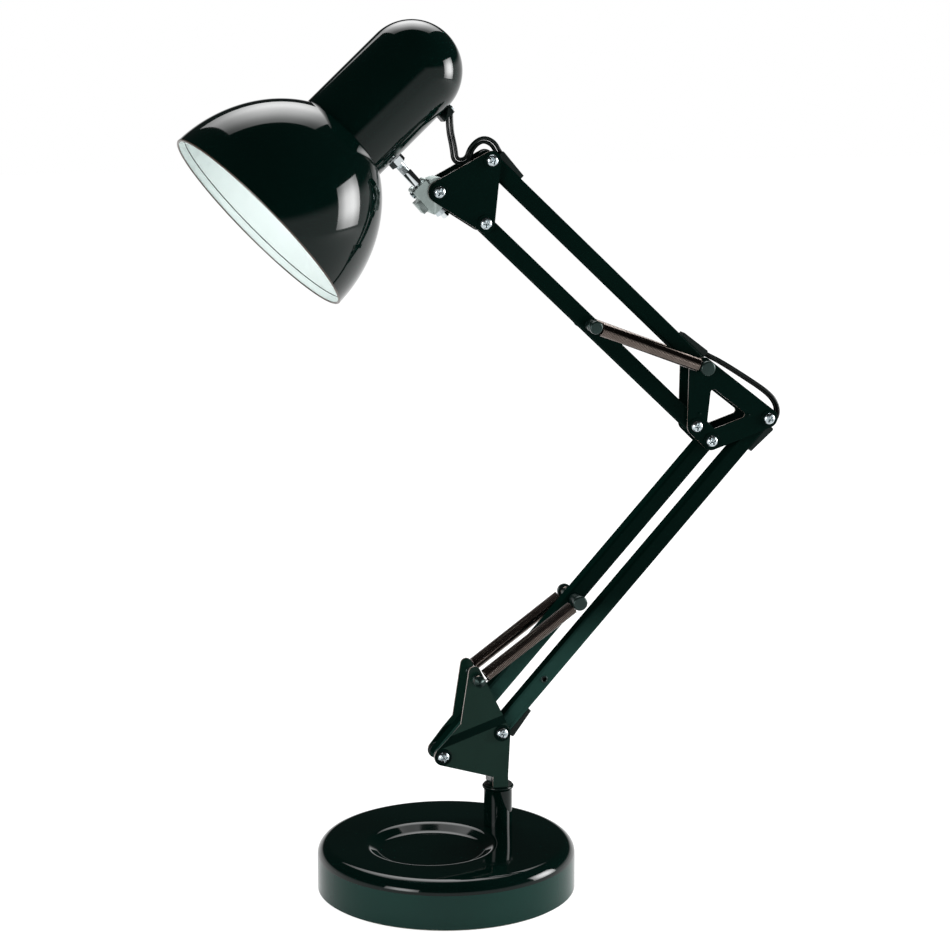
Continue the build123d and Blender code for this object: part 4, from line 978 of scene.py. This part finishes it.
# ---- Springs ----
@dataclass
class TensionSpring:
    """Close-wound spring with a hook at each end. Sizes in millimetres."""

    coil_radius: float = 4.28
    wire_radius: float = 0.5
    pitch: float = 1.03
    reach: float = 5.8
    steps_per_turn: int = 22
    wire_corners: int = 8
    eye_radius: float = 3.2
    eye_degrees: tuple[float, float] = (35.0, 292.0)
    shank: tuple[tuple[float, float], ...] = ((2.9, -2.4), (4.1, -2.6), (5.2, -3.4))
    overlap: float = 0.4
    roundings: int = 3

    def hook(self, place: np.ndarray, run: np.ndarray, left: np.ndarray) -> Surface:
        """Hook: an eye round the post, a shank on the spring's axis and a bend out to the coil.

        Each rounding puts two points for each span, at a quarter and three quarters of it.

        Args:
            place: The post's place in the spring's plane.
            run: Direction from the post into the spring.
            left: Direction square to it in the spring's plane.

        Returns:
            The closed wire.
        """
        turn = np.radians(np.linspace(*self.eye_degrees, 22))
        eye = self.eye_radius * np.stack([np.cos(turn), np.sin(turn)], -1)
        line = np.concatenate([eye, np.array(self.shank), [[self.reach + self.overlap, -self.coil_radius]]])
        for _ in range(self.roundings):
            near, far = line[:-1], line[1:]
            middle = np.stack([0.75 * near + 0.25 * far, 0.25 * near + 0.75 * far], 1)
            line = np.concatenate([line[:1], middle.reshape(-1, 2), line[-1:]])
        path = place + line[:, :1] * run + line[:, 1:] * left
        flat = np.broadcast_to(np.cross(run, left), path.shape)
        return carried(circle(self.wire_radius, self.wire_corners), path, flat)

    def coil(self, start: np.ndarray, end: np.ndarray, near: float, far: float) -> Surface:
        """Length of the coil: start + pitch times the turns along the run + the radius round it.

        Args:
            start: Post at one end, in the spring's plane.
            end: Post at the other end.
            near: Share of the way from start to end where this length begins.
            far: Share of the way where it ends.

        Returns:
            The closed wire of the coil.
        """
        run = unit(end - start)
        side, up = across(run)
        whole = float(np.linalg.norm(end - start))
        length = whole - 2 * self.reach
        turns = round(length / self.pitch)
        steps = turns * self.steps_per_turn
        first, last = (round(min(max((part * whole - self.reach) / length, 0.0), 1.0) * steps) for part in (near, far))
        share = np.arange(first, last + 1)[:, None] / steps
        turn = share * turns * 2 * math.pi
        ring = np.cos(turn) * side + np.sin(turn) * up
        path = start + (self.reach + share * length) * run + self.coil_radius * ring
        half = math.pi / self.wire_corners
        corners = circle(self.wire_radius / math.cos(half), self.wire_corners, half)
        return carried(corners, path, np.broadcast_to(run, path.shape))

    def build(
        self,
        name: str,
        start: np.ndarray,
        end: np.ndarray,
        bodies: tuple[str, str],
        turning: Sequence[tuple[float, float]],
    ) -> None:
        """Make one spring between two posts of two bodies, in lengths that part at the given shares of the way.

        Args:
            name: The spring's solid.
            start: Post on the first body.
            end: Post on the second body.
            bodies: The bodies that carry the posts. Not used.
            turning: Shares of the way from start to end, each with the share of the joint's angle there.
        """
        span = end - start
        run = unit(span)
        left = np.cross(FRONT, run)
        shares, turns = np.array(turning).T
        for number in range(len(shares) - 1):
            near, far = shares[number], shares[number + 1]
            surfaces = [self.coil(start, end, near, far)]
            if near == 0:
                surfaces.append(self.hook(start, run, left))
            if far == 1:
                surfaces.append(self.hook(end, -run, left))
            title = f"{name}_wound_{number + 1}"
            made = piece(title, surfaces, Look.SPRING, [name], sharp_degrees=30)
            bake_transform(made)


@dataclass
class SpringSet:
    """The four springs that hold the arms up, two beside each arm.

    The turnings say how far along each spring its lengths part and how much of the joint's
    angle they have there.
    """

    linkage: Linkage
    plane: float = 15.65
    lower_turning: tuple[tuple[float, float], ...] = (
        (0.0, 0.0), (0.1, 0.189), (0.28, 0.469), (0.6, 0.733), (1.0, 1.0),
    )
    upper_turning: tuple[tuple[float, float], ...] = (
        (0.0, 0.0), (0.1, 0.51), (0.28, 0.752), (0.6, 0.936), (1.0, 1.0),
    )

    def build(self) -> None:
        """Make both pairs."""
        here = self.linkage
        stud, low, high = (here.middle(node) for node in ("fork_studs", "lower_spring_post", "upper_spring_post"))
        plans = [
            ("lower", stud, low, ("fork", "lower_left"), self.lower_turning),
            ("upper", here.elbow_top, high, ("elbow", "upper_bottom"), self.upper_turning),
        ]
        for arm, start, end, bodies, turning in plans:
            for side, forward in (("front", self.plane), ("rear", -self.plane)):
                step = forward * FRONT
                TensionSpring().build(f"{arm}_spring_{side}", start + step, end + step, bodies, turning)


# ---- Flex ----
@dataclass
class TwinFlex:
    """Twin flex from the stem to the shade: two round strands side by side on one route."""

    linkage: Linkage
    strand_radius: float = 1.3
    strand_corners: int = 14
    closeness: float = 0.97
    guide_route: tuple[tuple[float, float], ...] = ((2.3, 8.1), (9.0, 7.2), (24.0, 0.0))
    fork_bend: float = 30.0
    bar_bend: float = 8.0
    grip_run: float = 11.5

    def route(self, points: Sequence[np.ndarray]) -> np.ndarray:
        """Smooth line through the route: a spline of order three with these control points.

        Args:
            points: Control points in millimetres.

        Returns:
            Points along the line in millimetres.
        """
        curve = bpy.data.curves.new("route", "CURVE")
        curve.dimensions = "3D"
        curve.resolution_u = 10
        spline = curve.splines.new("NURBS")
        spline.points.add(len(points) - 1)
        controls = np.concatenate([np.array(points) * MM, np.ones((len(points), 1))], 1)
        spline.points.foreach_set("co", controls.ravel())
        spline.order_u = 3
        spline.use_endpoint_u = True
        holder = placed("route", curve)
        line = bpy.data.meshes.new_from_object(holder)
        found = np.zeros(len(line.vertices) * 3)
        line.vertices.foreach_get("co", found)
        bpy.data.objects.remove(holder)
        bpy.data.curves.remove(curve)
        bpy.data.meshes.remove(line)
        return found.reshape(-1, 3) * METRE

    def strands(
        self, points: Sequence[np.ndarray], lean: tuple[float, float], gap: tuple[float, float, float]
    ) -> list[Surface]:
        """Both strands: the line plus and minus half their spacing along the flat's width.

        Args:
            points: Control points of the route.
            lean: How far the width leans from the arms' cross direction into their plane,
                in degrees, at the start and the end.
            gap: Extra spacing of the strands at the start, the middle and the end.

        Returns:
            The two closed tubes.
        """
        line = self.route(points)
        along = np.gradient(line, axis=0)
        along /= np.linalg.norm(along, axis=1, keepdims=True)
        steps = np.linalg.norm(np.diff(line, axis=0), axis=1)
        share = np.concatenate([[0.0], np.cumsum(steps)])[:, None] / steps.sum()
        angle = np.radians(lean[0] + (lean[1] - lean[0]) * share**2 * (3 - 2 * share))
        in_plane = np.stack([-along[:, 2], np.zeros(len(line)), along[:, 0]], -1)
        wide = np.cos(angle) * ACROSS + np.sin(angle) * in_plane
        spare = np.interp(share[:, 0], [0.0, 0.5, 1.0], gap)[:, None]
        half = self.strand_radius * self.closeness + spare / 2
        section = circle(self.strand_radius, self.strand_corners)
        return [carried(section, line + sign * half * wide, wide) for sign in (1.0, -1.0)]

    def guide(self, pivot: np.ndarray, other: np.ndarray, side: float) -> list[np.ndarray]:
        """Route through a guide, from outside a bar's end to its inside.

        Args:
            pivot: Pivot at that end of the bar.
            other: Pivot at its other end.
            side: 1 where the guide is left of the way to the other pivot, and -1 where it's right.

        Returns:
            Control points.
        """
        return [self.linkage.beside(pivot, other, run, side * out) for run, out in self.guide_route]

    def grip_exit(self) -> np.ndarray:
        """Where the flex enters the grip: the middle of its last solid's highest ring.

        Returns:
            The point, at the height of the solid's box.
        """
        mesh = frame["nodes"]["flex_grip"].data
        co = np.zeros(len(mesh.vertices) * 3)
        mesh.vertices.foreach_get("co", co)
        co = co.reshape(-1, 3) * METRE
        high = co[co[:, 2] > co[:, 2].max() - HAIR]
        place = (high.min(0) + high.max(0)) / 2
        place[2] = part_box("flex_grip")[1][2] * METRE
        return place

    def build(self) -> None:
        """Make the six lengths, each across one joint.

        Each line of the plan has the length's solid, its two bodies, where its bend starts and
        ends, its lean, the spare gap between its strands and its control points.
        """
        here, at, guide = self.linkage, self.linkage.at, self.guide
        right, elbow, top, head = here.fork_right, here.elbow_right, here.elbow_top, here.head_top
        lower_middle, upper_middle = (right + elbow) / 2, (top + head) / 2
        elbow_side, elbow_join = at(241.0, 336.8), at(231.0, 343.4)
        head_join, trough, grip = at(28.0, 516.0), at(17.3, 504.0), self.grip_exit()
        fork_end = here.beside(right, elbow, self.fork_bend, 0)
        top_end, head_end = here.beside(top, head, self.bar_bend, 0), here.beside(head, top, self.bar_bend, 0)
        close = (0.0, 0.0, 0.0)
        plans = [
            (
                "flex_fork", ("fork", "lower_right"), (right, fork_end), (0, 0), close,
                [at(right[0], 29.9), at(right[0], 80.0), at(46.3, 94.0), *guide(right, elbow, -1), lower_middle],
            ),
            (
                "flex_elbow_low", ("lower_right", "elbow"), (elbow, elbow_side), (0, 32), close,
                [
                    lower_middle, *guide(elbow, right, 1)[::-1],
                    at(249.6, 319.5), at(248.2, 328.5), elbow_side, elbow_join,
                ],
            ),
            (
                "flex_elbow_top", ("elbow", "upper_top"), (elbow_join, top_end), (32, 0), close,
                [elbow_join, at(208.0, 358.6), *guide(top, head, -1), upper_middle],
            ),
            (
                "flex_head_bar", ("upper_top", "head_bracket"), (head_end, head_join), (0, 60), (0, 0, 0.7),
                [upper_middle, *guide(head, top, 1)[::-1], at(39.5, 516.0), at(31.8, 519.0), head_join],
            ),
            (
                "flex_head_loop", ("head_bracket", "knuckle"), (head_join, trough), (60, 78), (0.7, 0.6, 0.3),
                [head_join, at(24.2, 513.0), at(21.6, 504.3), trough],
            ),
            (
                "flex_grip", ("knuckle", "head"), (trough, grip), (78, 90), (0.3, 0.2, 0.2),
                [trough, at(13.0, 503.7), at(12.3, 513.0, -1.0), grip - self.grip_run * UP, grip],
            ),
        ]
        for name, bodies, span, lean, gap, points in plans:
            made = piece(name + "_strands", self.strands(points, lean, gap), Look.SHEATH, [name])
            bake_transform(made)


# ---- Head ----
@dataclass
class Head:
    """Shade, cap, lampholder, rod and knuckle. Distances run along the shade's axis from the rod."""

    linkage: Linkage
    rim: float = -97.0
    radius: float = 75.0
    depth: float = 80.0
    fullness: float = 1.91
    wall: float = 1.0
    bead: float = 0.9
    bead_middle: float = 0.45
    bead_degrees: tuple[float, float] = (262.0, 98.0)
    first_row: float = 0.5
    hem: float = 5.0
    hem_rise: float = 0.35
    # Width of the seam inside the hem; its inner faces are painted black as a shadow line.
    shadow_seam: float = 0.7
    seam_side: float = 0.05
    cap_radius: float = 34.0
    cap_length: float = 66.0
    cap_seat: float = 0.6
    cap_rows: tuple[float, float] = (8.0, 6.0)
    opening: float = 18.8
    rod_radius: float = 3.5
    rod_foot_radius: float = 2.6
    rod_top: float = -29.5
    rod_step: float = -62.1
    rod_end: float = -87.6
    rod_chamfer: float = 0.5
    thread_top: float = -37.5
    thread_end: float = -46.8
    thread_step: float = 0.35
    thread_depth: float = 0.22
    thread_rows: int = 26

    def bowl_line(self, inset: float) -> list[tuple[float, float]]:
        """Bowl's profile from the rim back: radius times (1 - (depth/reach)^fullness)^(1/fullness).

        Args:
            inset: Distance inside the outer surface.

        Returns:
            Pairs of distance along the axis and radius.
        """
        power = self.fullness
        reach = self.depth / (1 - (self.cap_radius / self.radius) ** power) ** (1 / power)
        depth = np.linspace(self.first_row, self.depth - (self.wall if inset else 0.0), 56)
        if inset:
            step = self.seam_side
            depth = np.sort(np.append(depth, self.hem + np.array([0.0, step, self.shadow_seam, self.shadow_seam + step])))
        radius = (self.radius - inset) * (1 - (depth / (reach - inset)) ** power) ** (1 / power)
        if inset:
            radius[depth < self.hem + HAIR] -= self.hem_rise
        return list(zip((self.rim + depth).tolist(), radius.tolist()))

    def bowl(self) -> None:
        """Spun bowl: black outside, white inside, with a rolled rim, a painted shadow line in the seam inside the rim
        and an opening for the holder.
        """
        back = self.rim + self.depth
        outer, inner = self.bowl_line(0.0), self.bowl_line(self.wall)
        turn = np.radians(np.linspace(*self.bead_degrees, 12))
        middle, ring = self.rim + self.bead_middle, self.radius - self.bead
        bead = [(middle + self.bead * math.cos(t), ring + self.bead * math.sin(t)) for t in turn]
        floor = [(back, self.opening), (back - self.wall, self.opening)]
        profile = bead + outer + floor + inner[::-1]
        marks = [2] * len(bead) + [0] * len(outer) + [1] * (2 + len(inner))
        # Inner faces across the seam keep the black enamel: a painted shadow line in the groove.
        for i in range(len(bead + outer) + 1, len(profile)):
            if 0 < profile[i][0] - self.rim - self.hem < self.shadow_seam + 2 * HAIR:
                marks[i] = 0
        surface = turned(profile, self.linkage.head_middle, self.linkage.shade_back, 256, True, marks)
        # The rolled bead takes the pale brown rim finish, a painted highlight.
        looks = [Look.ENAMEL, Look.WHITE, Look.RIM_HIGHLIGHT]
        piece("shade_bowl_spun", [surface], looks, ["shade_bowl"], "head", 50)

    def cap(self) -> None:
        """Drawn cap: a tube that ends in half a ball, with its inner wall."""
        front, back = self.rim + self.depth, self.rim + self.depth + self.cap_length
        outside, inside = self.cap_radius, self.cap_radius - self.wall
        turn = np.linspace(math.pi / 2, 0, 40)
        outer = [(front, outside), (front + self.cap_seat, outside)]
        outer += [(x, outside) for x in np.linspace(front + self.cap_rows[0], back - self.cap_rows[1], 5)]
        outer += [(back + outside * math.cos(t), outside * math.sin(t)) for t in turn]
        inner = [(back + inside * math.cos(t), inside * math.sin(t)) for t in turn[::-1]] + [(front, inside)]
        surface = turned(outer + inner, self.linkage.head_middle, self.linkage.shade_back, 192, True)
        piece("shade_cap_drawn", [surface], Look.ENAMEL, ["shade_cap"], "head", 50)

    def rod(self) -> None:
        """Rod turned round its axis, with a fine thread below the nut and a chamfered foot."""
        wide, narrow, chamfer = self.rod_radius, self.rod_foot_radius, self.rod_chamfer
        ridge = np.arange(self.thread_rows)
        height = self.thread_top - self.thread_step * ridge
        profile = [(self.rod_top, 0.0), (self.rod_top, wide - chamfer), (self.rod_top - chamfer, wide)]
        profile += zip(height.tolist(), (wide - self.thread_depth * (ridge % 2)).tolist())
        profile += [(self.thread_end, wide), (self.rod_step, wide), (self.rod_step, narrow)]
        profile += [(self.rod_end + chamfer, narrow), (self.rod_end, narrow - chamfer), (self.rod_end, 0.0)]
        surface = turned(profile, self.linkage.head_middle, self.linkage.rod_up, 64)
        piece("head_rod_turned", [surface], Look.CHROME, ["head_rod"], "head", 40)

    def build(self) -> None:
        """Make the shade and the rod, and smooth the fittings."""
        self.bowl()
        self.cap()
        self.rod()
        refined(["rod_top_nut"], Look.CHROME)
        refined(["rod_bottom_nut", "clamp_screw", "grip_screw"], Look.ZINC)
        refined(["knuckle_body"], Look.CASTING)
        refined(["lampholder", "holder_ring"], Look.PHENOLIC)
        refined(["cord_grip"], Look.NYLON)
        refined(["holder_contact"], Look.BRASS)


# ---- Studio ----
@dataclass
class SoftBox:
    """A soft light: where it stands, what it faces, its size and its strength.

    Its face is brightest in the middle, by the core's factor, and falls along each side to
    the edge's share of that.
    """

    name: str
    place: tuple[float, float, float]
    target: tuple[float, float, float]
    size: tuple[float, float]
    watts: float
    core: float = 1.6
    edge: float = 0.45
    fall: tuple[float, float] = (0.1, 0.5)

    def build(self) -> None:
        """Add the light."""
        light = bpy.data.lights.new(self.name, "AREA")
        light.shape = "RECTANGLE"
        light.size, light.size_y = self.size
        light.energy = self.watts
        tree = emptied(light)
        face = put(tree, "ShaderNodeNewGeometry").outputs["Parametric"]
        spot = put(tree, "ShaderNodeSeparateXYZ", {0: face})
        share: Any = self.core
        for axis in "XY":
            away = reckoned(tree, "ABSOLUTE", reckoned(tree, "SUBTRACT", spot.outputs[axis], 0.5))
            share = reckoned(tree, "MULTIPLY", eased(tree, away, self.fall, (1.0, self.edge)), share)
        glow = put(tree, "ShaderNodeEmission", {"Color": BLANK, "Strength": share})
        put(tree, "ShaderNodeOutputLight", {"Surface": glow.outputs[0]})
        holder = placed(self.name, light)
        holder.location = self.place
        holder.rotation_euler = (Vector(self.target) - Vector(self.place)).to_track_quat("-Z", "Y").to_euler()


@dataclass
class Studio:
    """Pale floor, soft lights and the camera. Sizes in metres, angles in degrees."""

    lens: float = 98.73
    film: float = 36.0
    camera_place: tuple[float, float, float] = (-0.4326, -1.683, 0.6438)
    camera_fall: float = 11.4
    camera_turn: float = 15.08
    floor_size: float = 12.0
    floor_gap: float = 0.0002
    floor_paper: float = 0.8
    floor_glow: float = 1.31
    floor_share: float = 0.72
    dim: float = 0.28
    low: float = 0.02
    rise: tuple[float, float] = (0.05, 0.2)
    lights: list[SoftBox] = field(
        default_factory=lambda: [
            SoftBox("left_box", (-1.84, -1.38, 0.58), (0.0, 0.0, 0.58), (1.25, 0.9), 36.0),
            SoftBox("right_box", (2.26, -0.4, 0.68), (0.0, 0.0, 0.68), (1.15, 1.25), 86.0),
            SoftBox("back_box", (0.21, 1.13, 1.86), (0.0, 0.0, 0.3), (1.7, 1.5), 38.0),
        ]
    )

    def camera(self) -> None:
        """Long lens a little above the lamp and to its left."""
        lens = bpy.data.cameras.new("camera")
        lens.sensor_width = self.film
        lens.lens = self.lens
        lens.clip_start = 0.05
        holder = placed("camera", lens)
        holder.location = self.camera_place
        holder.rotation_euler = (math.radians(90 - self.camera_fall), 0.0, math.radians(-self.camera_turn))
        bpy.context.scene.camera = holder

    def seen(self, tree: bpy.types.NodeTree) -> bpy.types.NodeSocket:
        """One for rays from the camera, a mirror or a glass, and nought for the rest.

        Args:
            tree: Node tree that takes the nodes.

        Returns:
            The output that carries it.
        """
        rays = put(tree, "ShaderNodeLightPath").outputs
        first = reckoned(tree, "MAXIMUM", rays["Is Camera Ray"], rays["Is Glossy Ray"])
        return reckoned(tree, "MAXIMUM", first, rays["Is Transmission Ray"])

    def world(self) -> None:
        """White to the eye near the floor and dark above it, and a soft grey light on the lamp."""
        world = bpy.data.worlds.new("studio")
        tree = emptied(world)
        dim = put(tree, "ShaderNodeBackground", {"Color": BLANK, "Strength": self.dim})
        place = put(tree, "ShaderNodeTexCoord").outputs["Generated"]
        height = put(tree, "ShaderNodeSeparateXYZ", {0: place}).outputs["Z"]
        band = eased(tree, height, self.rise, (1.0, self.low))
        bright = put(tree, "ShaderNodeBackground", {"Color": BLANK, "Strength": band})
        mix = put(tree, "ShaderNodeMixShader", {0: self.seen(tree), 1: dim.outputs[0], 2: bright.outputs[0]})
        put(tree, "ShaderNodeOutputWorld", {"Surface": mix.outputs[0]})
        bpy.context.scene.world = world

    def floor(self) -> None:
        """White floor that keeps a faint shadow: to the eye, floor_share of its white is its own."""
        half, level = self.floor_size / 2, -self.floor_gap
        corners = [(-half, -half, level), (half, -half, level), (half, half, level), (-half, half, level)]
        mesh = bpy.data.meshes.new("floor")
        mesh.from_pydata(corners, [], [(0, 1, 2, 3)])
        material = bpy.data.materials.new("floor_paper")
        tree = emptied(material)
        matt = put(tree, "ShaderNodeBsdfDiffuse", {"Color": (*[self.floor_paper] * 3, 1.0)})
        glow = put(tree, "ShaderNodeEmission", {"Color": BLANK, "Strength": self.floor_glow})
        share = reckoned(tree, "MULTIPLY", self.seen(tree), self.floor_share)
        mix = put(tree, "ShaderNodeMixShader", {0: share, 1: matt.outputs[0], 2: glow.outputs[0]})
        put(tree, "ShaderNodeOutputMaterial", {"Surface": mix.outputs[0]})
        mesh.materials.append(material)
        placed("floor", mesh)

    def build(self) -> None:
        """Set up the camera, the world, the floor and the lights."""
        bpy.context.scene.view_settings.view_transform = "Standard"
        self.camera()
        self.world()
        self.floor()
        for light in self.lights:
            light.build()


def main() -> None:
    """Build the lamp's looks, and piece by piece."""
    logging.basicConfig(level=logging.INFO, format="%(name)s: %(message)s")
    linkage = Linkage()
    Studio().build()
    TwinFlex(linkage).build()
    BaseAndStem(linkage).build()
    Arms(linkage).build()
    SpringSet(linkage).build()
    Head(linkage).build()


if __name__ == "__main__":
    main()
